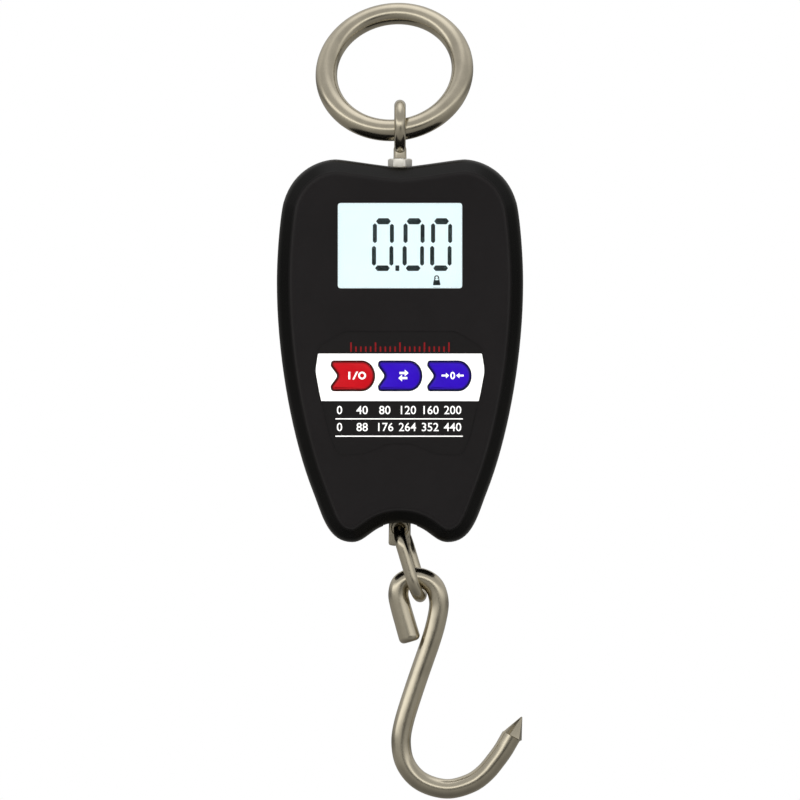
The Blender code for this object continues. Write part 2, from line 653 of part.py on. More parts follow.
def battery_parts():
    y_mid = LOAD_Y + BATTERY_Y
    z_mid = BODY_Z + BATTERY_Z
    half = BATTERY_LENGTH / 2
    tray(y_mid, z_mid)
    for side, name in ((-1, "battery_left"), (1, "battery_right")):
        x = side * BATTERY_X
        profile = [(0.0, half), (1.9, half), (1.9, half - 1.0), (BATTERY_RADIUS - 0.3, half - 1.0),
                   (BATTERY_RADIUS, half - 1.4), (BATTERY_RADIUS, -half + 0.4),
                   (BATTERY_RADIUS - 0.4, -half), (0.0, -half)]
        way = (0, 0, -side)
        turned(name, profile, (x, y_mid, z_mid), way, material(name, (0.75, 0.35, 0.08), 0.3, 0.6), steps=28)
        for end in (-1, 1):
            z = z_mid + end * (half + 0.4)
            if end == side:
                coil_spring("battery_spring_" + name[8:], x, y_mid, z_mid, end, half)
            else:
                plate = steel("battery_plate_" + name[8:])
                low, high = sorted((z, z + end * 0.6))
                box(plate.name, (x - 3.8, y_mid - 3.8, low), (x + 3.8, y_mid + 3.8, high), plate)


def coil_spring(name, x, y, z_mid, end, half):
    points = []
    for i in range(45):
        t = i / 44
        turn = 2 * math.pi * 3.0 * t
        radius = 2.4 + 1.4 * t
        height = z_mid + end * (half + 0.9 + 2.9 * t)
        points.append((x + radius * math.cos(turn), y + radius * math.sin(turn), height))
    wire(name, points, 0.35, steel(name), sides=6)


def tray(y_mid, z_mid):
    """The open battery box, stepped forward on each side of the load cell."""
    back = LOAD_Y + HOUSING_DEPTH / 2 - WALL - 0.3
    floor = LOAD_Y + 0.6
    width = 24.0
    low = z_mid - BATTERY_LENGTH / 2 - 5.5
    high = z_mid + BATTERY_LENGTH / 2 + 5.5
    item = box("battery_tray", (-width, floor, low), (width, back, high), dark_plastic("battery_tray"))
    cut(item, box("tray_cell_gap", (-10.4, floor - 1, low - 1), (10.4, LOAD_Y + 5.0, high + 1)))
    for side in (-1, 1):
        a, b = sorted((side * 11.1, side * 23.0))
        cut(item, box("tray_bay_%d" % side, (a, floor + 0.25, low + 1.0), (b, back + 1, high - 1.0)))
    cut(item, box("tray_middle", (-12.0, LOAD_Y + 6.2, low + 1.0), (12.0, back + 1, high - 1.0)))


def battery_door():
    y_face = LOAD_Y + HOUSING_DEPTH / 2
    half = DOOR_WIDTH / 2
    low = BODY_Z + DOOR_BOTTOM
    high = BODY_Z + DOOR_TOP
    colour = dark_plastic("battery_door")
    hinge_y = y_face - HINGE_RADIUS
    hinge_z = high - HINGE_RADIUS
    item = box("battery_door", (-half, y_face - DOOR_THICK, low), (half, y_face, hinge_z), colour)
    join(item, cylinder("door_roll", (-half, hinge_y, hinge_z), (half, hinge_y, hinge_z), HINGE_RADIUS,
                        sides=24))
    for i in range(5):
        z = low + 5.0 + i * 1.8
        cut(item, box("door_grip_%d" % i, (-7.0, y_face - 0.6, z), (7.0, y_face + 1, z + 0.9)))


def wires():
    board_y = LOAD_Y - HOUSING_DEPTH / 2 + 9.4
    red = (0.5, 0.01, 0.01)
    black = (0.01, 0.01, 0.01)
    for side, name, colour in ((-1, "battery_wire_red", red), (1, "battery_wire_black", black)):
        x = side * 26.0
        points = [(x, board_y, BODY_Z + 25.0), (x, board_y + 1.6, BODY_Z + 27.0),
                  (x, LOAD_Y + 1.0, BODY_Z + 31.0), (side * 25.4, LOAD_Y + 4.0, BODY_Z + 33.0)]
        wire(name, smooth_path(points, 5), 0.55, material(name, colour, 0.5), sides=6)


def set_joint_origins():
    """Moves each moving piece's origin to the point it turns about, leaving its shape in place."""
    for name, point in JOINT_POINTS.items():
        item = bpy.data.objects[name]
        place = Vector(point) * MM
        item.data.transform(Matrix.Translation(-place))
        item.location = place


def build():
    clear_scene()
    make_collections()
    lift_ring()
    eye_bolt()
    front_housing()
    rear_housing()
    display()
    keypad()
    circuit_board()
    load_cell()
    cell_cable()
    battery_parts()
    battery_door()
    wires()
    lower_lug()
    connecting_link()
    load_hook()
    set_joint_origins()


build()
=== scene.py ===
"""Looks for the hanging scale: steel fittings, moulded housing, display, keypad and inner parts."""

import math

import bmesh
import bpy
from mathutils import Matrix, Vector
from mathutils.geometry import interpolate_bezier


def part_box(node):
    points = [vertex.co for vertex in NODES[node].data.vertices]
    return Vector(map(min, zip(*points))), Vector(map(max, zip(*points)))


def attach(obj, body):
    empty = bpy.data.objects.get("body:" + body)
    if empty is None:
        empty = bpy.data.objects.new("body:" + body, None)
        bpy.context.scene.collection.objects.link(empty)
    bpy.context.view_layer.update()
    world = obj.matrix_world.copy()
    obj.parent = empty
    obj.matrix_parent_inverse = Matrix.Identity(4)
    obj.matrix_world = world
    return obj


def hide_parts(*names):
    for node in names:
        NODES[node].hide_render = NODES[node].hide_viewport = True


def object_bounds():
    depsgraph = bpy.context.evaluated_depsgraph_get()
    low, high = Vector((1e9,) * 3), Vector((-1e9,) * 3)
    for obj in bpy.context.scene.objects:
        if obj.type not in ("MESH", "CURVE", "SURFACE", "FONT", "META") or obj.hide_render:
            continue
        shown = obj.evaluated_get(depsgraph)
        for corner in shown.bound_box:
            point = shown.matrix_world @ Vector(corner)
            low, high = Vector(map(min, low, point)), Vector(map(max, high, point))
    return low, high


MM = 0.001
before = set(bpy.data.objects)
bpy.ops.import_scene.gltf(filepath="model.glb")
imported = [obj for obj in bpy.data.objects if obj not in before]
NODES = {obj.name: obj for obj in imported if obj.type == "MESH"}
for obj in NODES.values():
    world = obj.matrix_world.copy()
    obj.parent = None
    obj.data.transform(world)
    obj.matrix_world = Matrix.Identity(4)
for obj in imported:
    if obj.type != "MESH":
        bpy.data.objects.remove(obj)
CAD_LOW, CAD_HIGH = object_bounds()


def span(node):
    """Lowest and highest corner of a CAD node, in millimetres."""
    low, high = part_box(node)
    return [c / MM for c in low], [c / MM for c in high]


FRONT_LOW, FRONT_HIGH = span("front_housing")
REAR_HIGH = span("rear_housing")[1]
FACE_Y = FRONT_LOW[1]  # front plateau
BACK_Y = REAR_HIGH[1]  # rear plateau
LOAD_Y = (FACE_Y + BACK_Y) / 2  # plane of the load line
BODY_Z = FRONT_HIGH[2] - 56.5  # origin of the housing outline
SEAM_HALF = 0.12
WALL = 2.0
PLATEAU_INSET = 4.9
SCALE_BODY = "scale_body"

# Right half of the housing outline: x, z, direction in degrees, handle in, handle out.
OUTLINE = [
    (0.0, 54.27, 0.0, 0.0, 4.1),
    (19.0, 56.5, 0.0, 2.7, 2.8),
    (34.3, 43.9, -73.7, 11.4, 2.9),
    (36.3, 20.1, -90.0, 9.8, 21.1),
    (25.5, -41.8, -111.6, 17.7, 6.9),
    (14.1, -56.3, 180.0, 7.2, 4.6),
    (0.0, -50.67, 180.0, 8.1, 0.0),
]
# Right half of the label: x, z, corner radius.
LABEL = [(16.4, 5.8, 4.0), (24.0, 1.4, 3.0), (25.2, -5.7, 12.0), (20.9, -24.6, 4.0), (18.3, -30.8, 3.0),
         (10.5, -30.4, 5.0), (3.5, -27.4, 8.0)]
WINDOW_HALF = (18.3, 12.55)
WINDOW_Z = BODY_Z + 31.05
KEYS = {"power_button": -13.8, "mode_button": 0.1, "tare_button": 14.6}
KEY_Z = BODY_Z - 7.3
SCREWS = [(-24.6, 44.5), (24.6, 44.5), (-15.5, -43.5), (15.5, -43.5)]
DOOR_LOW, DOOR_HIGH = span("battery_door")
KEY_PROUD = 0.52  # key tops above the plateau
KEY_BEVEL = 1.0
OUTLINE_STEPS = 18  # points for each span of the housing outline
PRINT_RISE = 0.03  # print above the film
PRINT_THICK = 0.028
FLOOR_RADIUS = 3.2  # metres
FLOOR_DROP = 0.22  # metres below the object
EYE_CENTRE = (0.0, LOAD_Y, -31.0)
RING_CENTRE = (-1.65, -8.47, -14.64)
RING_RADIUS = 20.2
RING_WIRE = 3.2  # radius
RING_ROLL, RING_LEAN = math.radians(10.5), math.radians(31.0)
LINK_WIRE = 1.75  # radius
LINK_TILT, LINK_TWIST = math.radians(16.6), math.radians(9.5)
LUG_Z = -149.4  # centre of the lug's hole
DIGIT_XS = (-8.29, 0.74, 8.85)
NUMBER_SIZE = 3.5
NUMBER_START, NUMBER_STEP = -17.8, 6.66
TICK_START, TICK_STEP = -14.4, 1.44


# ---- camera and stage

def make_camera():
    width = 0.236
    middle_z = -0.1116
    distance = 6.0
    data = bpy.data.cameras.new("camera")
    data.type = "PERSP"
    data.sensor_width = 36.0
    data.lens = 36.0 * distance / width
    data.clip_start = 0.1
    data.clip_end = 60.0
    camera = bpy.data.objects.new("camera", data)
    camera.location = (0.0, LOAD_Y * MM - distance, middle_z)
    camera.rotation_euler = (math.pi / 2, 0.0, 0.0)
    bpy.context.scene.collection.objects.link(camera)
    bpy.context.scene.camera = camera
    bpy.context.scene.view_settings.view_transform = "Standard"


def area_light(name, direction, distance, size, power, colour=(1.0, 1.0, 1.0)):
    """A soft box that looks at the middle of the object. The steel mirrors the world, not the lamps."""
    target = (CAD_LOW + CAD_HIGH) / 2
    data = bpy.data.lights.new(name, "AREA")
    data.shape = "RECTANGLE"
    data.size, data.size_y = size
    data.energy = power
    data.color = colour
    lamp = bpy.data.objects.new(name, data)
    way = Vector(direction).normalized()
    lamp.location = target + way * distance
    lamp.rotation_euler = (-way).to_track_quat("-Z", "Y").to_euler()
    lamp.visible_glossy = False
    lamp.visible_camera = False
    bpy.context.scene.collection.objects.link(lamp)


def make_lights():
    area_light("key", (-0.45, -1.0, 0.55), 1.5, (0.5, 0.5), 12.0, (1.0, 0.985, 0.96))
    area_light("fill", (0.8, -1.0, 0.1), 1.5, (0.6, 0.9), 7.0)
    area_light("top", (0.0, -0.2, 1.0), 1.2, (0.9, 0.6), 6.0)
    area_light("rear_fill", (-0.5, 1.0, 0.5), 1.5, (0.8, 0.8), 12.0)


def make_world():
    """White to the eye. The object mirrors a grey tent with a bright strip and a dark gap in front."""
    world = bpy.data.worlds.new("studio")
    bpy.context.scene.world = world
    world.use_nodes = True
    tree = world.node_tree
    tree.nodes.clear()
    n = NodeMaker(tree)
    axis = n.add("ShaderNodeSeparateXYZ", Vector=n.add("ShaderNodeTexCoord").outputs["Generated"])
    x, y, z = axis.outputs["X"], axis.outputs["Y"], axis.outputs["Z"]
    level = n.ramp(n.math("MULTIPLY_ADD", z, 0.5, 0.5), [
        (0.0, (0.16, 0.155, 0.145)), (0.30, (0.30, 0.29, 0.27)), (0.44, (0.42, 0.41, 0.385)),
        (0.60, (0.48, 0.47, 0.45)), (0.80, (0.50, 0.49, 0.475)), (1.0, (0.56, 0.55, 0.54))])
    front = n.grey_ramp(y, -0.25, 0.05, 1.0, 0.0)
    strip = n.bell(z, 0.23, 0.12)
    strip = n.math("MULTIPLY", n.math("MULTIPLY", strip, front), n.grey_ramp(x, 0.2, 0.9, 1.0, 0.25))
    gap = n.math("MULTIPLY", n.math("MULTIPLY", n.bell(x, 0.18, 0.36), n.bell(z, -0.09, 0.17)), front)
    overhead = n.math("MULTIPLY", n.grey_ramp(y, -0.12, 0.12, 0.0, 1.0), n.grey_ramp(z, 0.25, 0.6, 0.0, 1.0))
    flank = n.math("MULTIPLY", n.bell(z, 0.0, 0.16), n.grey_ramp(y, -0.45, 0.0, 0.0, 1.0))
    shade = n.math("SUBTRACT", n.math("MULTIPLY_ADD", gap, -0.85, 1.0), n.math("MULTIPLY", flank, 0.55))
    shade = n.math("MAXIMUM", shade, 0.14)
    zenith = n.grey_ramp(z, 0.86, 0.97, 0.0, 1.1)
    above = n.math("MULTIPLY_ADD", overhead, 0.25, n.math("ADD", shade, zenith))
    power = n.math("MULTIPLY_ADD", strip, 2.4, above)
    path = n.add("ShaderNodeLightPath")
    plain = n.add("ShaderNodeBackground", Color=(1.0, 1.0, 1.0, 1.0), Strength=1.0)
    mirrored = n.add("ShaderNodeBackground", Color=level, Strength=power)
    mix = n.add("ShaderNodeMixShader")
    n.link(path.outputs["Is Camera Ray"], mix.inputs[0])
    n.link(mirrored.outputs[0], mix.inputs[1])
    n.link(plain.outputs[0], mix.inputs[2])
    out = n.add("ShaderNodeOutputWorld")
    n.link(mix.outputs[0], out.inputs["Surface"])


def make_floor():
    mesh = bpy.data.meshes.new("floor")
    shape = bmesh.new()
    bmesh.ops.create_circle(shape, cap_ends=True, segments=96, radius=FLOOR_RADIUS)
    bmesh.ops.translate(shape, vec=(0.0, 0.0, CAD_LOW.z - FLOOR_DROP), verts=shape.verts)
    shape.to_mesh(mesh)
    shape.free()
    floor = bpy.data.objects.new("floor", mesh)
    bpy.context.scene.collection.objects.link(floor)
    floor.visible_glossy = False
    mesh.materials.append(floor_material())


# ---- node helpers

class NodeMaker:
    """Short calls for building a node tree."""

    def __init__(self, tree, shader=None):
        self.tree = tree
        self.shader = shader

    def link(self, source, target):
        self.tree.links.new(source, target)

    def set(self, socket, value):
        if isinstance(value, bpy.types.NodeSocket):
            self.link(value, socket)
        else:
            socket.default_value = value

    def put(self, name, value):
        """Sets or links an input of the material's Principled shader."""
        self.set(self.shader.inputs[name], value)

    def add(self, kind, **inputs):
        node = self.tree.nodes.new(kind)
        for name, value in inputs.items():
            self.set(node.inputs[name.replace("_", " ")], value)
        return node

    def math(self, operation, *values):
        node = self.tree.nodes.new("ShaderNodeMath")
        node.operation = operation
        for socket, value in zip(node.inputs, values):
            self.set(socket, value)
        return node.outputs[0]

    def ramp(self, factor, stops, interpolation="LINEAR"):
        node = self.tree.nodes.new("ShaderNodeValToRGB")
        node.color_ramp.interpolation = interpolation
        while len(node.color_ramp.elements) < len(stops):
            node.color_ramp.elements.new(0.5)
        for element, (place, colour) in zip(node.color_ramp.elements, stops):
            element.position = place
            element.color = (*colour, 1.0)
        self.link(factor, node.inputs["Fac"])
        return node.outputs["Color"]

    def grey_ramp(self, factor, low, high, low_value, high_value):
        node = self.tree.nodes.new("ShaderNodeMapRange")
        for name, value in (("Value", factor), ("From Min", low), ("From Max", high),
                            ("To Min", low_value), ("To Max", high_value)):
            self.set(node.inputs[name], value)
        return node.outputs["Result"]

    def bell(self, value, centre, width):
        """A smooth bump of height one."""
        off = self.math("DIVIDE", self.math("SUBTRACT", value, centre), width)
        return self.math("POWER", 2.718, self.math("MULTIPLY", self.math("MULTIPLY", off, off), -1.0))

    def mix_colour(self, factor, a, b):
        node = self.tree.nodes.new("ShaderNodeMix")
        node.data_type = "RGBA"
        for socket, value in zip([i for i in node.inputs if i.enabled], (factor, a, b)):
            self.set(socket, value)
        return [o for o in node.outputs if o.enabled][0]

    def noise(self, vector, scale, detail=3.0, roughness=0.55):
        node = self.add("ShaderNodeTexNoise", Vector=vector, Scale=scale, Detail=detail, Roughness=roughness)
        return node.outputs["Fac"]

    def stretched(self, vector, scale):
        return self.add("ShaderNodeMapping", Vector=vector, Scale=scale).outputs["Vector"]

    def bump(self, height, distance, strength, normal=None):
        node = self.add("ShaderNodeBump", Height=height, Strength=strength, Distance=distance)
        if normal is not None:
            self.link(normal, node.inputs["Normal"])
        return node.outputs["Normal"]


def material(name):
    """A new Principled material: the material, its node maker and object coordinates."""
    made = bpy.data.materials.new(name)
    made.use_nodes = True
    n = NodeMaker(made.node_tree, made.node_tree.nodes["Principled BSDF"])
    place = n.add("ShaderNodeTexCoord").outputs["Object"]
    return made, n, place


def floor_material():
    """Pale floor that is clear when seen from below."""
    made, n, place = material("floor")
    cloud = n.noise(place, 3.0)
    n.put("Base Color", n.ramp(cloud, [(0.3, (0.90, 0.90, 0.90)), (0.7, (0.93, 0.93, 0.93))]))
    below = n.add("ShaderNodeNewGeometry").outputs["Backfacing"]
    n.put("Alpha", n.math("SUBTRACT", 1.0, below))
    n.put("Roughness", 0.9)
    n.put("Specular IOR Level", 0.1)
    return made


def steel_material(name, drawn=True, tint=(0.63, 0.58, 0.465), rough=0.15, metal=1.0):
    """Polished wire: lines along its length, faint stains and fine scuffs."""
    made, n, place = material(name)
    if drawn:
        along = n.add("ShaderNodeTexCoord").outputs["UV"]
    else:
        along = n.stretched(place, (60.0, 60.0, 900.0))
    lines = n.noise(n.stretched(along, (0.35, 46.0, 1.0)), 1.0, 3.0)
    stain = n.noise(place, 90.0, 4.0, 0.6)
    scuff = n.noise(place, 1500.0, 3.0, 0.7)
    dark = tuple(c * 0.80 for c in tint)
    light = tuple(min(1.0, c * 1.06) for c in tint)
    n.put("Base Color", n.ramp(stain, [(0.25, dark), (0.55, tint), (0.8, light)]))
    n.put("Metallic", metal)
    base = n.grey_ramp(stain, 0.3, 0.75, rough, rough + 0.09)
    n.put("Roughness", n.math("MULTIPLY_ADD", lines, 0.10, n.math("SUBTRACT", base, 0.04)))
    normal = n.bump(lines, 0.00002, 0.35)
    n.put("Normal", n.bump(scuff, 0.00001, 0.25, normal))
    return made


def plastic_material(name, colour, rough=0.42):
    """Moulded plastic with a fine spark texture, slight mottling and paler sharp edges, both wear and painted
    highlight.
    """
    made, n, place = material(name)
    mottle = n.noise(place, 55.0, 5.0, 0.6)
    fine = n.noise(place, 3200.0, 2.0, 0.6)
    pale = tuple(c * 1.45 + 0.0015 for c in colour)
    tone = n.ramp(mottle, [(0.3, colour), (0.75, tuple(c * 1.2 for c in colour))])
    # Paler colour on convex edges: partly wear, partly a painted highlight along the edges.
    pointed = n.add("ShaderNodeNewGeometry").outputs["Pointiness"]
    worn = n.grey_ramp(pointed, 0.53, 0.62, 0.0, 0.6)
    n.put("Base Color", n.mix_colour(worn, tone, (*pale, 1.0)))
    n.put("Roughness", n.math("MULTIPLY_ADD", mottle, 0.12, rough - 0.06))
    n.put("Normal", n.bump(fine, 0.00003, 0.35))
    return made


def housing_material():
    """Black housing: a fine-grained plateau and a smoother rounded edge, darker in colour as painted shade.
    """
    made, n, place = material("housing_black")
    depth = n.add("ShaderNodeSeparateXYZ", Vector=place).outputs["Y"]
    from_middle = n.math("ABSOLUTE", n.math("SUBTRACT", depth, LOAD_Y * MM))
    half = (BACK_Y - FACE_Y) / 2 * MM
    flat = n.grey_ramp(from_middle, half - 0.0010, half - 0.0001, 0.0, 1.0)
    mottle = n.noise(place, 45.0, 5.0, 0.6)
    speck = n.noise(place, 2600.0, 2.0, 0.7)
    smudge = n.noise(n.stretched(place, (30.0, 30.0, 12.0)), 1.0, 4.0, 0.65)
    face = n.ramp(mottle, [(0.3, (0.0052, 0.0045, 0.0049)), (0.7, (0.0068, 0.0059, 0.0064))])
    # Painted shade: the edge ramp is far darker than the plateau's, standing in for the shade on the
    # side-facing edges; the edge's smoother finish is real.
    edge = n.ramp(mottle, [(0.3, (0.0008, 0.0008, 0.0008)), (0.7, (0.0012, 0.0012, 0.0012))])
    # Painted highlight: a thin paler line along the plateau's border stands in for the light its rounding
    # catches; the smudge noise only varies its strength.
    line = n.bell(from_middle, half - 0.00022, 0.00016)
    painted_border_highlight = n.math("MULTIPLY", line, n.grey_ramp(smudge, 0.3, 0.7, 0.4, 0.9))
    tone = n.mix_colour(painted_border_highlight, n.mix_colour(flat, edge, face), (0.0125, 0.0120, 0.0120, 1.0))
    n.put("Base Color", tone)
    rough = n.math("MULTIPLY_ADD", smudge, 0.14, n.grey_ramp(flat, 0.0, 1.0, 0.20, 0.36))
    n.put("Specular IOR Level", 0.14)
    n.put("Roughness", rough)
    n.put("Normal", n.bump(speck, 0.00002, 0.30))
    return made


def film_material(name, colour, rough):
    """Printed film: even colour under a faintly pebbled clear face."""
    made, n, place = material(name)
    pebble = n.noise(place, 1800.0, 2.0)
    haze = n.noise(place, 70.0, 4.0)
    n.put("Base Color", n.ramp(haze, [(0.3, tuple(c * 0.93 for c in colour)), (0.7, colour)]))
    n.put("Roughness", n.math("MULTIPLY_ADD", haze, 0.14, rough - 0.05))
    n.put("Normal", n.bump(pebble, 0.00002, 0.2))
    n.put("Specular IOR Level", 0.15)
    return made


def key_material(name, colour):
    """Glossy moulded key whose colour darkens down its rounded rim as painted shade."""
    made, n, place = material(name)
    cloud = n.noise(place, 160.0, 4.0)
    deep = tuple(c * 0.86 for c in colour)
    top = n.ramp(cloud, [(0.3, deep), (0.7, colour)])
    depth = n.add("ShaderNodeSeparateXYZ", Vector=place).outputs["Y"]
    # Painted shade: below the key's top the colour falls to about an eighth, standing in for the shade on the
    # rounded rim.
    rim = n.grey_ramp(depth, (FACE_Y - KEY_PROUD) * MM, (FACE_Y - KEY_PROUD + 0.2) * MM, 0.0, 0.9)
    n.put("Base Color", n.mix_colour(rim, top, (*[c * 0.12 for c in colour], 1.0)))
    n.put("Roughness", n.grey_ramp(cloud, 0.3, 0.7, 0.18, 0.28))
    n.put("Normal", n.bump(n.noise(place, 2200.0), 0.00001, 0.2))
    n.put("Specular IOR Level", 0.2)
    return made


def display_material():
    """Backlit glass: bright, a little uneven, with a very fine cell pattern."""
    made, n, place = material("display_glow")
    cloud = n.noise(place, 60.0, 3.0)
    cells = n.noise(place, 5000.0, 1.0)
    tone = n.ramp(cloud, [(0.25, (0.80, 0.955, 0.97)), (0.75, (0.85, 0.985, 0.99))])
    n.put("Base Color", (0.04, 0.05, 0.05, 1.0))
    n.put("Emission Color", tone)
    n.put("Emission Strength", 1.0)
    n.put("Roughness", n.grey_ramp(cells, 0.3, 0.7, 0.25, 0.4))
    return made


def glass_material():
    """Clear acrylic with faint handling haze."""
    made, n, place = material("window_clear")
    n.put("Base Color", (0.97, 0.99, 1.0, 1.0))
    n.put("Transmission Weight", 1.0)
    n.put("IOR", 1.2)
    n.put("Specular IOR Level", 0.25)
    n.put("Roughness", n.grey_ramp(n.noise(place, 120.0, 5.0), 0.35, 0.8, 0.0, 0.05))
    return made


def board_material():
    """Green solder mask over copper tracks."""
    made, n, place = material("board_green")
    brick = n.add("ShaderNodeTexBrick", Vector=n.stretched(place, (1.0, 1.0, 1.0)), Scale=180.0)
    brick.inputs["Color1"].default_value = (0.004, 0.085, 0.03, 1.0)
    brick.inputs["Color2"].default_value = (0.006, 0.12, 0.045, 1.0)
    brick.inputs["Mortar"].default_value = (0.02, 0.19, 0.07, 1.0)
    n.put("Base Color", brick.outputs["Color"])
    n.put("Roughness", n.grey_ramp(n.noise(place, 300.0), 0.3, 0.7, 0.28, 0.42))
    n.put("Normal", n.bump(brick.outputs["Fac"], 0.00003, 0.5))
    return made


def cell_sleeve_material():
    """Battery sleeve: a pale band at one end, plain grey body, bare metal cap."""
    made, n, place = material("battery_sleeve")
    low, high = span("battery_left")
    height = n.add("ShaderNodeSeparateXYZ", Vector=place).outputs["Z"]
    along = n.grey_ramp(height, low[2] * MM, high[2] * MM, 0.0, 1.0)
    bands = [(0.0, (0.55, 0.55, 0.55)), (0.022, (0.42, 0.43, 0.44)), (0.27, (0.13, 0.15, 0.17)),
             (0.972, (0.55, 0.55, 0.55))]
    n.put("Base Color", n.ramp(along, bands, "CONSTANT"))
    n.put("Metallic", 0.6)
    scratch = n.noise(n.stretched(place, (900.0, 900.0, 60.0)), 1.0, 4.0)
    n.put("Roughness", n.grey_ramp(scratch, 0.3, 0.7, 0.2, 0.36))
    n.put("Normal", n.bump(scratch, 0.00001, 0.3))
    return made


# ---- shape helpers

def heading(degrees):
    return Vector((math.cos(math.radians(degrees)), math.sin(math.radians(degrees))))


def housing_outline(inset):
    """The whole housing outline, clockwise from the top, moved inwards by the inset."""
    half = []
    for a, b in zip(OUTLINE, OUTLINE[1:]):
        start, end = Vector(a[:2]), Vector(b[:2])
        first = start + heading(a[2]) * a[4]
        second = end - heading(b[2]) * b[3]
        half += [p.to_2d() for p in interpolate_bezier(
            start.to_3d(), first.to_3d(), second.to_3d(), end.to_3d(), OUTLINE_STEPS)][:-1]
    half.append(Vector(OUTLINE[-1][:2]))
    points = half + [Vector((-p.x, p.y)) for p in reversed(half[1:-1])]
    return [(x, z + BODY_Z) for x, z in offset_loop([tuple(p) for p in points], -inset)]


def offset_loop(points, grow):
    """A clockwise closed loop moved outwards by the given amount."""
    moved = []
    vectors = [Vector(p) for p in points]
    for before, here, after in zip([vectors[-1]] + vectors[:-1], vectors, vectors[1:] + [vectors[0]]):
        along = (after - before).normalized()
        out = here + Vector((-along.y, along.x)) * grow
        moved.append((out.x, out.y))
    return moved


def rounded(corners, steps):
    """A closed loop with each corner (x, z, radius) rounded."""
    loop = []
    count = len(corners)
    for i, (x, z, radius) in enumerate(corners):
        here = Vector((x, z))
        back = Vector(corners[i - 1][:2]) - here
        ahead = Vector(corners[(i + 1) % count][:2]) - here
        angle = back.angle(ahead)
        if radius <= 0.0 or angle > math.pi - 0.02:
            loop.append((x, z))
            continue
        reach = min(radius / math.tan(angle / 2), back.length * 0.49, ahead.length * 0.49)
        start = here + back.normalized() * reach
        end = here + ahead.normalized() * reach
        for k in range(steps + 1):
            t = k / steps
            p = start * (1 - t) ** 2 + here * 2 * t * (1 - t) + end * t ** 2
            loop.append((p.x, p.y))
    return loop


def rectangle(x0, z0, x1, z1, radius, steps):
    return rounded([(x0, z1, radius), (x1, z1, radius), (x1, z0, radius), (x0, z0, radius)], steps)


def label_outline():
    right = [(x, z + BODY_Z, r) for x, z, r in LABEL]
    left = [(-x, z, r) for x, z, r in reversed(right)]
    return rounded(right + left, 8)


def key_outline(x):
    """Key with a round right end and a notched left end, clockwise from its upper left corner."""
    corners = [(-6.25, 4.35, 0.9), (2.5, 4.35, 0.0)]
    corners += [(2.5 + 3.8 * math.sin(a), 4.35 * math.cos(a), 0.0) for a in
                [math.pi * k / 20 for k in range(1, 20)]]
    corners += [(2.5, -4.35, 0.0), (-6.25, -4.35, 0.9), (-6.45, -3.0, 0.8)]
    corners += [(-4.25, 0.0, 1.5), (-6.45, 3.0, 0.8)]
    return [(x + px, KEY_Z + pz) for px, pz in rounded(corners, 6)]


def window_outline(grow=0.0):
    w, h = WINDOW_HALF
    return offset_loop([(x, z + WINDOW_Z) for x, z in rectangle(-w, -h, w, h, 0.9, 6)], grow)


def disc_outline(x, z, radius, steps=32):
    return oval_outline(x, z, radius, radius, [-2 * math.pi * k / steps for k in range(steps)])


def oval_outline(x, z, width, height, turns):
    return [(x + width * math.cos(t), z + height * math.sin(t)) for t in turns]


def to_mesh(name, shape):
    mesh = bpy.data.meshes.new(name)
    bmesh.ops.recalc_face_normals(shape, faces=shape.faces)
    shape.to_mesh(mesh)
    shape.free()
    return mesh


def skin(shape, loops):
    """Faces between neighbouring loops and a cap on each end."""
    shape.faces.new(loops[0])
    shape.faces.new(loops[-1])
    for near, far in zip(loops, loops[1:]):
        for i in range(len(near)):
            j = (i + 1) % len(near)
            shape.faces.new((near[i], near[j], far[j], far[i]))


def loft(name, rings, along_x=False):
    """A closed solid through loops, capped at both ends.

    Each ring is a pair of (x, z) points and their y. With along_x it is (y, z) points and their x.
    """
    shape = bmesh.new()
    loops = []
    for points, level in rings:
        places = [(level, a, b) if along_x else (a, level, b) for a, b in points]
        loops.append([shape.verts.new(Vector(place) * MM) for place in places])
    skin(shape, loops)
    return to_mesh(name, shape)


def box_mesh(name, low, high):
    shape = bmesh.new()
    bmesh.ops.create_cube(shape, size=1.0)
    bmesh.ops.scale(shape, vec=[(b - a) * MM for a, b in zip(low, high)], verts=shape.verts)
    bmesh.ops.translate(shape, vec=[(a + b) / 2 * MM for a, b in zip(low, high)], verts=shape.verts)
    return to_mesh(name, shape)


def rod_mesh(name, start, end, radius, sides, end_radius=None):
    """A rod, or a cone where the end radius differs."""
    a, b = Vector(start) * MM, Vector(end) * MM
    shape = bmesh.new()
    bmesh.ops.create_cone(shape, cap_ends=True, segments=sides, radius1=radius * MM,
                          radius2=(radius if end_radius is None else end_radius) * MM, depth=(b - a).length)
    aim = (b - a).to_track_quat("Z", "Y").to_matrix().to_4x4()
    bmesh.ops.transform(shape, matrix=Matrix.Translation((a + b) / 2) @ aim, verts=shape.verts)
    return to_mesh(name, shape)


def link_object(name, mesh):
    item = bpy.data.objects.new(name, mesh)
    bpy.context.scene.collection.objects.link(item)
    return item


def carve(item, tools, operation="DIFFERENCE"):
    """Applies one Boolean for each tool mesh and keeps only the result."""
    guides = []
    for k, tool in enumerate(tools):
        guide = link_object("tool_%d" % k, tool)
        step = item.modifiers.new("step_%d" % k, "BOOLEAN")
        step.operation = operation
        step.solver = "EXACT"
        step.object = guide
        guides.append(guide)
    bake_modifiers(item)
    for guide in guides:
        bpy.data.objects.remove(guide, do_unlink=True)


def bake_modifiers(item):
    bpy.context.view_layer.update()
    seen = item.evaluated_get(bpy.context.evaluated_depsgraph_get())
    mesh = bpy.data.meshes.new_from_object(seen)
    item.modifiers.clear()
    item.data = mesh


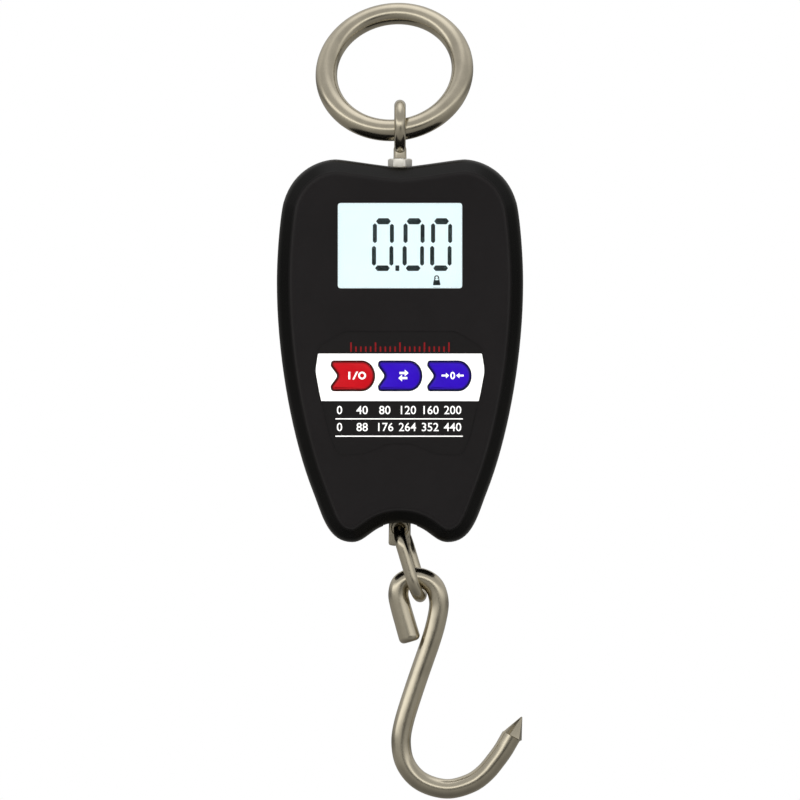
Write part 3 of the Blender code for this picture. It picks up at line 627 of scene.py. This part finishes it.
def shade(item, angle, weighted):
    for face in item.data.polygons:
        face.use_smooth = True
    item.data.set_sharp_from_angle(angle=math.radians(angle))
    if weighted:
        step = item.modifiers.new("Normals", "WEIGHTED_NORMAL")
        step.weight = 100
        step.keep_sharp = True


def piece(name, mesh, finish, body, replaced=(), angle=32.0, weighted=True):
    """Places a visible piece: its material, its body and the CAD nodes it stands for."""
    item = mesh if isinstance(mesh, bpy.types.Object) else link_object(name, mesh)
    item.name = name
    item.data.materials.clear()
    item.data.materials.append(finish)
    shade(item, angle, weighted)
    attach(item, body)
    if replaced:
        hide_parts(*replaced)
    return item


def filled_curve(name, loops, extrude):
    """A filled curve in X and Z; loops inside others become holes."""
    curve = bpy.data.curves.new(name, "CURVE")
    curve.dimensions = "2D"
    curve.fill_mode = "BOTH"
    curve.extrude = extrude * MM
    for points in loops:
        spline = curve.splines.new("POLY")
        spline.points.add(len(points) - 1)
        for spot, (x, z) in zip(spline.points, points):
            spot.co = (x * MM, z * MM, 0.0, 1.0)
        spline.use_cyclic_u = True
    return curve


def flat_print(name, loops, y_front, thickness, finish, body=SCALE_BODY, replaced=()):
    """Thin filled shapes with their front at the given y."""
    curve = filled_curve(name, loops, thickness / 2)
    solid_from_curve(name, curve, y_front + thickness / 2, finish, body, replaced)


def solid_from_curve(name, curve, y_middle, finish, body, replaced=()):
    guide = link_object(name + "_guide", curve)
    bpy.context.view_layer.update()
    mesh = bpy.data.meshes.new_from_object(guide.evaluated_get(bpy.context.evaluated_depsgraph_get()))
    bpy.data.objects.remove(guide, do_unlink=True)
    mesh.transform(Matrix.Translation((0.0, y_middle * MM, 0.0)) @ Matrix.Rotation(math.pi / 2, 4, "X"))
    shape = bmesh.new()
    shape.from_mesh(mesh)
    bmesh.ops.remove_doubles(shape, verts=shape.verts, dist=0.000001)
    return piece(name, to_mesh(name, shape), finish, body, replaced, weighted=False)


def sweep(name, path, radius, sides, closed=False):
    """A round bar along a path in millimetres, with UV u along it in millimetres and v round it.

    The radius is one number, or one for each point of the path.
    """
    path = [Vector(p) for p in path]
    count = len(path)
    radii = radius if isinstance(radius, list) else [radius] * count
    tangents = []
    for i in range(count):
        before = path[i - 1] if closed or i > 0 else path[i]
        after = path[(i + 1) % count] if closed or i < count - 1 else path[i]
        tangents.append((after - before).normalized())
    side = tangents[0].orthogonal().normalized()
    sides_at = []
    for t in tangents:
        side = (side - t * side.dot(t)).normalized()
        sides_at.append(side.copy())
    shape = bmesh.new()
    uv = shape.loops.layers.uv.new("UVMap")
    rings = []
    travel = [0.0]
    for a, b in zip(path, path[1:] + [path[0]]):
        travel.append(travel[-1] + (b - a).length)
    for i, (p, t, s) in enumerate(zip(path, tangents, sides_at)):
        up = t.cross(s)
        ring = []
        for k in range(sides):
            turn = 2 * math.pi * k / sides
            out = s * math.cos(turn) + up * math.sin(turn)
            ring.append(shape.verts.new((p + out * radii[i]) * MM))
        rings.append(ring)
    pairs = [(i, (i + 1) % count) for i in range(count if closed else count - 1)]
    for i, j in pairs:
        for k in range(sides):
            m = (k + 1) % sides
            face = shape.faces.new((rings[i][k], rings[j][k], rings[j][m], rings[i][m]))
            spots = [(travel[i], k), (travel[i + 1], k), (travel[i + 1], k + 1), (travel[i], k + 1)]
            for corner, (u, v) in zip(face.loops, spots):
                corner[uv].uv = (u, v / sides)
    if not closed:
        shape.faces.new(list(reversed(rings[0])))
        shape.faces.new(rings[-1])
    return to_mesh(name, shape)


def smooth_path(points, per_span, relax):
    """An even, gently relaxed curve through the points."""
    padded = [points[0]] + list(points) + [points[-1]]
    path = []
    for a, b, c, d in zip(padded, padded[1:], padded[2:], padded[3:]):
        for step in range(per_span):
            t = step / per_span
            path.append(Vector([
                0.5 * (2 * q + (r - p) * t + (2 * p - 5 * q + 4 * r - s) * t * t
                       + (3 * q - p - 3 * r + s) * t ** 3)
                for p, q, r, s in zip(a, b, c, d)]))
    path.append(Vector(points[-1]))
    for _ in range(relax):
        inner = [p * 0.5 + (a + b) * 0.25 for a, p, b in zip(path, path[1:], path[2:])]
        path = [path[0]] + inner + [path[-1]]
    return path


def circle_path(centre, u, v, radius, count):
    turns = [2 * math.pi * i / count for i in range(count)]
    return [Vector(centre) + (Vector(u) * math.cos(t) + Vector(v) * math.sin(t)) * radius for t in turns]


# ---- steel fittings

def ring(steel):
    roll, lean = RING_ROLL, RING_LEAN
    u = (math.cos(roll), 0.0, math.sin(roll))
    v = (-math.sin(roll) * math.cos(lean), math.sin(lean), math.cos(roll) * math.cos(lean))
    path = circle_path(RING_CENTRE, u, v, RING_RADIUS, 168)
    piece("lift_ring", sweep("lift_ring", path, RING_WIRE, 44, closed=True), steel, "ring",
          ["hanging_ring"], weighted=False)


def eye_bolt(steel, plain_steel, zinc):
    path = circle_path(EYE_CENTRE, (0, 1, 0), (0, 0, 1), 6.3, 96)
    piece("eye_loop", sweep("eye_loop", path, 1.7, 28, closed=True), steel, SCALE_BODY,
          ["eye_bolt"], weighted=False)
    low = span("eye_bolt")[0][2]
    profile = [(1.2, -36.3), (1.72, -36.9), (1.9, -37.6), (1.92, -40.2)]
    z = -40.3
    while z > -47.0:
        profile += [(1.98, z), (1.7, z - 0.22), (1.98, z - 0.44)]
        z -= 0.5
    profile += [(1.98, z), (1.98, low + 0.4), (1.6, low)]
    piece("eye_shank", turned("eye_shank", profile, 40), plain_steel, SCALE_BODY,
          angle=40.0, weighted=False)
    hex_nut("eye_nut", zinc, span("eye_bolt_nut"), 3.1, 2.05, "eye_bolt_nut", -4.0)


def round_vertex(shape, radius, turn, z):
    """A vertex at a radius and an angle about the load line."""
    return shape.verts.new((radius * math.cos(turn) * MM, (LOAD_Y + radius * math.sin(turn)) * MM, z * MM))


def turned(name, profile, sides):
    """A solid of revolution about the load line: (radius, z) from its top down."""
    shape = bmesh.new()
    rings = []
    for radius, z in profile:
        turns = [2 * math.pi * k / sides for k in range(sides)]
        rings.append([round_vertex(shape, radius, t, z) for t in turns])
    skin(shape, rings)
    return to_mesh(name, shape)


def hex_nut(name, steel, box, apothem, bore, slot, turn_degrees):
    """A chamfered hexagon nut on the load line."""
    low, high = box[0][2], box[1][2]
    corner = apothem / math.cos(math.pi / 6)
    shape = bmesh.new()
    rings = []
    chamfer = 0.35
    face = apothem - 0.05
    sides = 48
    for z, limit in ((low, face), (low + chamfer, corner), (high - chamfer, corner), (high, face)):
        ring = []
        for k in range(sides):
            turn = math.radians(turn_degrees) + 2 * math.pi * k / sides
            flat = ((2 * math.pi * k / sides) % (math.pi / 3)) - math.pi / 6
            ring.append(round_vertex(shape, min(apothem / math.cos(flat), limit), turn, z))
        rings.append(ring)
    skin(shape, rings)
    item = link_object(name, to_mesh(name, shape))
    carve(item, [rod_mesh("bore", (0, LOAD_Y, low - 1), (0, LOAD_Y, high + 1), bore, 32)])
    piece(name, item, steel, SCALE_BODY, [slot], angle=25.0)


def lug(steel):
    """Flat lug with an offset foot, a rounded-over hole and a stud."""
    z = LUG_Z
    half = 1.3
    corners = [(3.15, 9.0, 0.0), (3.15, -2.2, 1.8), (1.3, -4.9, 2.2), (-1.7, -5.25, 1.0), (-3.4, -4.95, 0.8),
               (-3.3, 0.0, 0.0), (-3.15, 9.0, 0.0)]
    outline = [(x, z + dz) for x, dz in rounded(corners, 6)]
    rings = [(offset_loop(outline, -0.38), LOAD_Y - half), (offset_loop(outline, -0.1), LOAD_Y - half + 0.1),
             (outline, LOAD_Y - half + 0.38), (outline, LOAD_Y + half - 0.38),
             (offset_loop(outline, -0.1), LOAD_Y + half - 0.1), (offset_loop(outline, -0.38), LOAD_Y + half)]
    item = link_object("lug", loft("lug", rings))
    stud = turned("stud", [(1.6, z + 25.1), (1.75, z + 24.7), (1.75, z + 8.5)], 32)
    carve(item, [stud], "UNION")
    tools = [rod_mesh("hole", (0, LOAD_Y - 3, z), (0, LOAD_Y + 3, z), 2.4, 48)]
    for side in (-1, 1):
        mouth = LOAD_Y + side * half
        tools.append(rod_mesh("sink", (0, mouth - side * 0.3, z), (0, mouth + side * 0.3, z), 2.35, 48, 2.95))
    carve(item, tools)
    piece("hook_lug", item, steel, SCALE_BODY, ["lower_lug"], angle=30.0)


def link(steel):
    tilt, twist = LINK_TILT, LINK_TWIST
    down = Vector((math.sin(tilt), 0.0, -math.cos(tilt)))
    side = Vector((math.cos(tilt), 0.0, math.sin(tilt)))
    across = Vector((0.0, 1.0, 0.0)) * math.cos(twist) + side * math.sin(twist)
    start = Vector((0.0, LOAD_Y, LUG_Z - 0.1))
    bend, length = 5.6, 20.9
    top, low = start + down * bend, start + down * (length - bend)
    turns = [math.pi * i / 28 for i in range(29)]
    path = [top + bend * (across * math.cos(t) - down * math.sin(t)) for t in turns]
    straight = [path[-1] + down * (length - 2 * bend) * k / 8 for k in range(1, 8)]
    ends = [low + bend * (-across * math.cos(t) + down * math.sin(t)) for t in turns]
    rise = [ends[-1] - down * (length - 2 * bend) * k / 8 for k in range(1, 8)]
    oval = sweep("oval_link", path + straight + ends + rise, LINK_WIRE, 32, closed=True)
    piece("oval_link", oval, steel, "link", ["connecting_link"], weighted=False)


HOOK_RADIUS = 2.9
END_ROUND = 1.5  # worn edge of the free end
LEG_SWELL = 0.25  # extra radius at the free end
HOOK_PATH = [
    (2.75, -181.5), (1.5, -177.2), (0.1, -172.2), (-0.5, -168.6), (0.75, -165.2),
    (5.3, -163.85), (9.75, -166.0), (11.5, -170.8), (10.9, -176.1), (9.15, -182.5),
    (6.05, -191.4), (3.1, -200.2), (1.0, -207.3), (0.3, -212.9), (1.6, -219.0),
    (6.1, -224.1), (13.7, -226.4), (20.7, -224.7), (25.0, -221.7), (28.0, -218.2), (30.4, -214.9),
    (31.8, -212.5), (32.85, -210.7),
]
POINT_BASE = (33.17, -210.72)
POINT_TIP = (35.95, -205.0)


def hook(steel):
    """Bent round bar with a point ground to six flats."""
    path = smooth_path([(x, LOAD_Y, z) for x, z in HOOK_PATH], 9, 5)
    radii = [HOOK_RADIUS + LEG_SWELL * max(0.0, 1.0 - i / 40) for i in range(len(path))]
    way = (path[0] - path[1]).normalized()
    turns = [math.radians(a) for a in (90, 72, 54, 36, 18)]
    end = [path[0] + way * END_ROUND * math.sin(t) for t in turns]
    end_radii = [radii[0] - END_ROUND * (1.0 - math.cos(t)) for t in turns]
    bar = sweep("hook_bar", end + path, end_radii + radii, 48)
    piece("hook_bar", bar, steel, "hook", ["load_hook"], angle=35.0, weighted=False)
    base = Vector((POINT_BASE[0], LOAD_Y, POINT_BASE[1]))
    tip = Vector((POINT_TIP[0], LOAD_Y, POINT_TIP[1]))
    piece("hook_point", ground_point(base, tip), steel, "hook", angle=15.0, weighted=False)


def ground_point(base, tip):
    """A six-sided point with slightly rounded ridges and a worn tip."""
    aim = (tip - base).to_track_quat("Z", "Y")
    length = (tip - base).length
    corners = [math.radians(104.0 + 60.0 * k) for k in range(6)]
    shape = bmesh.new()
    uv = shape.loops.layers.uv.new("UVMap")
    rings = []
    levels = [(-0.9, 2.4), (-0.12, 3.0), (0.0, 3.16), (0.14, 3.1),
              (length - 0.3, 0.32), (length - 0.06, 0.16)]
    for rise, radius in levels:
        loop = rounded([(radius * math.cos(a), radius * math.sin(a), radius * 0.09) for a in corners], 3)
        rings.append([shape.verts.new((base + aim @ Vector((x, y, rise))) * MM) for x, y in loop])
    for i, (a, b) in enumerate(zip(rings, rings[1:])):
        for k in range(len(a)):
            m = (k + 1) % len(a)
            face = shape.faces.new((a[k], a[m], b[m], b[k]))
            for corner, (u, v) in zip(face.loops, ((k, i), (k + 1, i), (k + 1, i + 1), (k, i + 1))):
                corner[uv].uv = (v * 5.0, u / 22.0)
    shape.faces.new(rings[0])
    shape.faces.new(rings[-1])
    return to_mesh("hook_point", shape)


# ---- housing

def edge_profile():
    """Inset and depth of the rounded edge, from the plateau to the side wall."""
    points = []
    shoulder = ((PLATEAU_INSET, 0.0), (4.3, 0.0), (3.6, 0.55))
    side = ((1.35, 3.2), (0.2, 4.6), (0.0, 6.6))
    for a, b, c in (shoulder, side):
        for k in range(7):
            t = k / 6
            points.append(tuple(p * (1 - t) ** 2 + 2 * q * t * (1 - t) + r * t * t
                                for p, q, r in zip(a, b, c)))
    return points


def housing_shell(name, y_face, y_seam):
    inward = 1 if y_seam > y_face else -1
    seam = abs(y_seam - y_face)
    rings = edge_profile() + [(0.0, seam - 0.35), (0.12, seam - 0.1), (0.35, seam), (WALL, seam)]
    rings += [(WALL, 7.0), (2.4, 4.6), (4.8, WALL)]
    return link_object(name, loft(name, [(housing_outline(i), y_face + inward * d) for i, d in rings]))


def flared(name, outline, y_face, inward, depth, flare):
    """A cutter that opens out at the face, so the hole gets a small rounded lip."""
    rings = [(offset_loop(outline, flare + 0.6), y_face - inward * 0.6),
             (offset_loop(outline, flare), y_face),
             (offset_loop(outline, flare * 0.3), y_face + inward * flare * 0.45),
             (outline, y_face + inward * flare), (outline, y_face + inward * depth)]
    return loft(name, rings)


def end_tools():
    return [rod_mesh("top_hole", (0, LOAD_Y, BODY_Z + 48.0), (0, LOAD_Y, BODY_Z + 60.0), 4.9, 48),
            box_mesh("low_slot", (-5.0, LOAD_Y - 8.5, BODY_Z - 56.0), (5.0, LOAD_Y + 8.5, BODY_Z - 44.0))]


def front_shell(finish):
    item = housing_shell("front_shell", FACE_Y, LOAD_Y - SEAM_HALF)
    tools = [flared("window", window_outline(), FACE_Y, 1, 3.2, 0.35),
             loft("label_seat", [(label_outline(), FACE_Y - 1.0), (label_outline(), FACE_Y + 0.36)])]
    for x in KEYS.values():
        outline = offset_loop(key_outline(x), 0.28)
        tools.append(loft("key_hole", [(outline, FACE_Y - 1), (outline, FACE_Y + 3.5)]))
    carve(item, tools + end_tools())
    piece("front_shell", item, finish, SCALE_BODY, ["front_housing"])


def rear_shell(finish):
    item = housing_shell("rear_shell", BACK_Y, LOAD_Y + SEAM_HALF)
    margin = 0.4
    x0, x1 = DOOR_LOW[0] - margin, DOOR_HIGH[0] + margin
    z0, z1 = DOOR_LOW[2] - margin, DOOR_HIGH[2] + margin
    frame_loop = rectangle(x0, z0, x1, z1, 1.2, 5)
    tools = [flared("door_frame", frame_loop, BACK_Y, -1, 3.2, 0.3)]
    for x, z in SCREWS:
        tools.append(flared("screw_well", disc_outline(x, z + BODY_Z, 2.8), BACK_Y, -1, 6.0, 0.3))
    carve(item, tools + end_tools())
    wells = [well_mesh(x, z + BODY_Z) for x, z in SCREWS]
    piece("rear_shell", item, finish, SCALE_BODY, ["rear_housing"])
    for k, well in enumerate(wells):
        piece("screw_well_%d" % (k + 1), well, finish, SCALE_BODY)


def well_mesh(x, z):
    """The moulded tube that a housing screw sits in, open at the back and pierced for the shank."""
    item = link_object("well", rod_mesh("well", (x, LOAD_Y + 0.6, z), (x, BACK_Y - 1.9, z), 3.5, 40))
    carve(item, [rod_mesh("head_room", (x, BACK_Y - 6.0, z), (x, BACK_Y, z), 2.8, 40),
                 rod_mesh("shank_room", (x, LOAD_Y - 1, z), (x, BACK_Y, z), 1.5, 24)])
    return item


def door(finish):
    """Battery door with a rolled hinge edge, a finger seat and grip bars."""
    low, high = DOOR_LOW, DOOR_HIGH
    y0, y1 = low[1], high[1]
    roll = (y1 - y0) / 2
    turns = [math.radians(15 * k) for k in range(12, -1, -1)]
    top = [(y0 + roll + roll * math.cos(t), high[2] - roll + roll * math.sin(t)) for t in turns]
    outer = [(y1, low[2] + 0.45), (y1 - 0.13, low[2] + 0.13), (y1 - 0.45, low[2])]
    profile = [(y0, low[2])] + top + outer
    rings = [(offset_loop(profile, -0.3), low[0]), (offset_loop(profile, -0.1), low[0] + 0.1),
             (profile, low[0] + 0.3), (profile, high[0] - 0.3),
             (offset_loop(profile, -0.1), high[0] - 0.1), (offset_loop(profile, -0.3), high[0])]
    item = link_object("door", loft("door", rings, along_x=True))
    seat = rectangle(-9.0, low[2] + 3.0, 9.0, low[2] + 13.5, 3.0, 6)
    carve(item, [flared("finger_seat", seat, y1, -1, 0.75, 0.3)])
    piece("door_panel", item, finish, "door", ["battery_door"])
    for k in range(5):
        z = low[2] + 4.9 + k * 1.65
        bar = rectangle(-6.8, z - 0.45, 6.8, z + 0.45, 0.4, 4)
        rings = [(bar, y1 - 0.8), (bar, y1 - 0.35),
                 (offset_loop(bar, -0.12), y1 - 0.22), (offset_loop(bar, -0.25), y1 - 0.2)]
        piece("door_grip_%d" % (k + 1), loft("grip", rings), finish, "door")


# ---- display and keys

def segment(x0, z0, x1, z1, upright):
    """One display segment: a bar with pointed, slightly blunted ends."""
    if upright:
        w = (x1 - x0) / 2
        m = (x0 + x1) / 2
        corners = [(m, z0, 0.15), (x1, z0 - w * 0.9, 0.3), (x1, z1 + w * 0.9, 0.3), (m, z1, 0.15),
                   (x0, z1 + w * 0.9, 0.3), (x0, z0 - w * 0.9, 0.3)]
    else:
        h = (z0 - z1) / 2
        m = (z0 + z1) / 2
        corners = [(x0, m, 0.2), (x0 + h * 0.8, z0, 0.4), (x1 - h * 0.8, z0, 0.4), (x1, m, 0.2),
                   (x1 - h * 0.8, z1, 0.4), (x0 + h * 0.8, z1, 0.4)]
    return rounded(corners, 3)


def digit_zero(x, top):
    """The six lit segments of a zero, leaning slightly."""
    bars = [(1.21, 0.0, 5.59, 1.81, False), (0.28, 1.47, 1.50, 7.40, True), (0.0, 8.10, 1.24, 14.05, True),
            (5.31, 1.60, 6.50, 7.40, True), (5.17, 8.10, 6.33, 14.05, True),
            (0.93, 13.90, 5.31, 15.55, False)]
    return [segment(x + x0, top - z0, x + x1, top - z1, upright) for x0, z0, x1, z1, upright in bars]


def display(glow, ink):
    low = span("lcd_panel")[0]
    NODES["lcd_panel"].material_slots[0].material = glow
    top = WINDOW_Z + 8.09
    loops = []
    for x in DIGIT_XS:
        loops += digit_zero(x, top)
    loops.append(rectangle(-1.36, top - 15.55, -0.2, top - 13.9, 0.2, 2))
    y = low[1] - 0.06
    flat_print("display_digits", loops, y, 0.05, ink)
    x, z = 10.8, WINDOW_Z - 10.5
    weight = rounded([(x - 0.75, z + 0.75, 0.15), (x + 0.75, z + 0.75, 0.15),
                      (x + 1.15, z - 1.15, 0.25), (x - 1.15, z - 1.15, 0.25)], 3)
    handle = [disc_outline(x, z + 1.05, 0.75, 20), disc_outline(x, z + 1.1, 0.36, 16)]
    flat_print("display_unit", [weight] + handle, y, 0.05, ink)


def window_pane(finish):
    low, high = span("lcd_window")
    loop = window_outline(-0.12)
    rings = [(offset_loop(loop, -0.25), low[1]), (offset_loop(loop, -0.08), low[1] + 0.08),
             (loop, low[1] + 0.25), (loop, high[1])]
    piece("window_pane", loft("window_pane", rings), finish, SCALE_BODY, ["lcd_window"])


def bezel(finish):
    low, high = span("lcd_bezel")
    item = link_object("bezel", box_mesh("bezel", low, high))
    hole = window_outline()
    rim = 0.9
    pocket = box_mesh("pocket", (low[0] + rim, low[1] + 0.7, low[2] + rim),
                      (high[0] - rim, high[1] + 1, high[2] - rim))
    carve(item, [loft("hole", [(hole, low[1] - 1), (hole, high[1] + 1)]), pocket])
    piece("display_frame", item, finish, SCALE_BODY, ["lcd_bezel"])


def label(film, white, red):
    y = FACE_Y + 0.05
    edge = offset_loop(label_outline(), -0.12)
    holes = [offset_loop(key_outline(x), 0.2) for x in KEYS.values()]
    flat_print("label_film", [edge] + holes, y, 0.28, film, replaced=["keypad_label"])
    half = [(24.1, -0.75, 0.35), (24.9, -5.7, 9.0), (23.25, -14.7, 0.25)]
    right = [(x, z + BODY_Z, r) for x, z, r in half]
    band = rounded(right + [(-x, z, r) for x, z, r in reversed(right)], 6)
    print_y = y - PRINT_RISE
    flat_print("label_band", [band] + holes, print_y, PRINT_THICK, white)
    lines = [rectangle(-19.0, z + BODY_Z - 0.15, 18.5, z + BODY_Z + 0.15, 0.0, 1) for z in (-19.95, -25.05)]
    flat_print("label_lines", lines, print_y, PRINT_THICK, white)
    numbers(white, y, -18.55, ["0", "40", "80", "120", "160", "200"], "a")
    numbers(white, y, -23.55, ["0", "88", "176", "264", "352", "440"], "b")
    ticks = []
    for k in range(21):
        x = TICK_START + k * TICK_STEP
        tall = 2.9 if k % 5 == 0 else 1.7
        ticks.append(rectangle(x - 0.22, -0.2 + BODY_Z, x + 0.22, -0.35 + tall + BODY_Z, 0.0, 1))
    flat_print("label_ticks", ticks, print_y, PRINT_THICK, red)


def numbers(white, y, foot, values, tag):
    """A printed row of scale numbers."""
    for k, value in enumerate(values):
        data = bpy.data.curves.new("number_%s_%d" % (tag, k), "FONT")
        data.body = value
        data.size = NUMBER_SIZE * MM
        data.align_x = "CENTER"
        data.extrude = PRINT_THICK / 2 * MM
        data.offset = 0.015 * MM
        data.resolution_u = 3
        item = solid_from_curve(data.name, data, y - 0.016, white, SCALE_BODY)
        across = NUMBER_START + k * NUMBER_STEP
        item.data.transform(Matrix.Translation((across * MM, 0.0, (foot + BODY_Z) * MM)))


def keys(red, blue, ink):
    for name, x in KEYS.items():
        body = {"power_button": "power_key", "mode_button": "mode_key", "tare_button": "tare_key"}[name]
        top = FACE_Y - KEY_PROUD
        half_side = 0.2
        curve = filled_curve(name, [key_outline(x)], half_side)
        curve.bevel_depth = KEY_BEVEL * MM
        curve.bevel_resolution = 5
        curve.offset = -KEY_BEVEL * MM
        finish = red if name == "power_button" else blue
        solid_from_curve("key_" + name, curve, top + KEY_BEVEL + half_side, finish, body, [name])
        stem = rod_mesh("stem", (x, FACE_Y + 1.7, KEY_Z), (x, FACE_Y + 4.4, KEY_Z), 1.7, 28, 1.5)
        piece("stem_" + name, stem, finish, body)
        flat_print("mark_" + name, key_mark(name, x), top - 0.025, 0.05, ink, body)


def arrow(x, z, way, size):
    """A solid arrow pointing along X."""
    shape = [(1.3, 0.0), (0.35, 0.85), (0.35, 0.28), (-1.0, 0.28),
             (-1.0, -0.28), (0.35, -0.28), (0.35, -0.85)]
    return [(x + px * way * size, z + pz * size) for px, pz in shape]


def key_mark(name, x):
    """Plain symbols: a line, a slash and a circle; swap arrows; arrows closing on a zero."""
    z = KEY_Z + 0.1
    if name == "power_button":
        m = x + 0.9
        slash = [(m - 1.1, z - 1.15), (m - 0.6, z - 1.15), (m + 0.55, z + 1.15), (m + 0.05, z + 1.15)]
        bar = rectangle(m - 2.3, z - 1.1, m - 1.75, z + 1.1, 0.0, 1)
        return [bar, slash, disc_outline(m + 1.75, z, 1.15, 24), disc_outline(m + 1.75, z, 0.65, 20)]
    if name == "mode_button":
        return [arrow(x + 0.9, z + 0.75, 1, 1.15), arrow(x + 0.9, z - 0.75, -1, 1.15)]
    outer = oval_outline(x + 0.9, z, 0.72, 1.1, [2 * math.pi * k / 22 for k in range(22)])
    inner = oval_outline(x + 0.9, z, 0.32, 0.68, [2 * math.pi * k / 20 for k in range(20)])
    return [arrow(x - 1.4, z, 1, 0.95), arrow(x + 3.2, z, -1, 0.95), outer, inner]


# ---- inner parts

def dress(names, finish, bevel, angle=35.0):
    """Gives CAD nodes their finish and softened edges."""
    for name in names:
        item = NODES[name]
        item.material_slots[0].material = finish
        step = item.modifiers.new("Edges", "BEVEL")
        step.width = bevel * MM
        step.segments = 2
        step.limit_method = "ANGLE"
        step.angle_limit = math.radians(angle)
        step.use_clamp_overlap = True


def inner_parts(plain_steel):
    zinc = steel_material("zinc_plate", False, (0.60, 0.60, 0.61), 0.24)
    nickel = steel_material("nickel_plate", False, (0.66, 0.64, 0.60), 0.2)
    machined = steel_material("machined_aluminium", False, (0.74, 0.745, 0.75), 0.3)
    screws = ["housing_screw_%d" % k for k in range(1, 5)] + ["board_screw_%d" % k for k in range(1, 5)]
    dress(screws, zinc, 0.06)
    dress(["eye_bolt_washer", "lug_nut"], plain_steel, 0.12)
    dress(["battery_plate_left", "battery_plate_right"], nickel, 0.1)
    dress(["battery_spring_left", "battery_spring_right"], nickel, 0.02, 80.0)
    dress(["load_cell"], machined, 0.25)
    dress(["battery_tray"], plastic_material("tray_plastic", (0.014, 0.014, 0.015)), 0.25)
    dress(["battery_left", "battery_right"], cell_sleeve_material(), 0.05, 60.0)
    dress(["circuit_board"], board_material(), 0.05)
    black = plastic_material("component_black", (0.02, 0.02, 0.021), 0.5)
    dress(["main_chip", "power_button_switch", "mode_button_switch", "tare_button_switch"], black, 0.1)
    dress(["display_connector"], plastic_material("elastomer", (0.72, 0.70, 0.62), 0.6), 0.2)
    dress(["backlight_plate"], plastic_material("diffuser_white", (0.85, 0.87, 0.88), 0.35), 0.1)
    gauge = plastic_material("gauge_film", (0.62, 0.33, 0.07), 0.3)
    dress(["strain_gauge_left", "strain_gauge_right"], gauge, 0.04)
    dress(["cell_cable"], plastic_material("cable_grey", (0.28, 0.28, 0.28), 0.5), 0.02, 80.0)
    dress(["battery_wire_red"], plastic_material("wire_red", (0.45, 0.01, 0.01), 0.4), 0.02, 80.0)
    dress(["battery_wire_black"], plastic_material("wire_black", (0.012, 0.012, 0.012), 0.4), 0.02, 80.0)


def build():
    make_camera()
    make_world()
    make_lights()
    make_floor()
    wire_steel = steel_material("wire_steel")
    plain_steel = steel_material("turned_steel", False)
    black = housing_material()
    ring(wire_steel)
    eye_bolt(wire_steel, plain_steel, steel_material("bright_zinc", False, (0.93, 0.91, 0.84), 0.25, 0.72))
    front_shell(black)
    rear_shell(black)
    door(black)
    bezel(plastic_material("frame_black", (0.004, 0.004, 0.004), 0.5))
    display(display_material(), film_material("segment_ink", (0.018, 0.028, 0.03), 0.3))
    window_pane(glass_material())
    white = film_material("white_print", (0.90, 0.90, 0.90), 0.45)
    label(film_material("black_film", (0.0062, 0.0056, 0.0059), 0.36), white,
          film_material("red_print", (0.17, 0.004, 0.006), 0.45))
    keys(key_material("key_red", (0.41, 0.003, 0.008)), key_material("key_blue", (0.021, 0.001, 0.37)), white)
    lug(plain_steel)
    link(wire_steel)
    hook(wire_steel)
    inner_parts(plain_steel)


build()
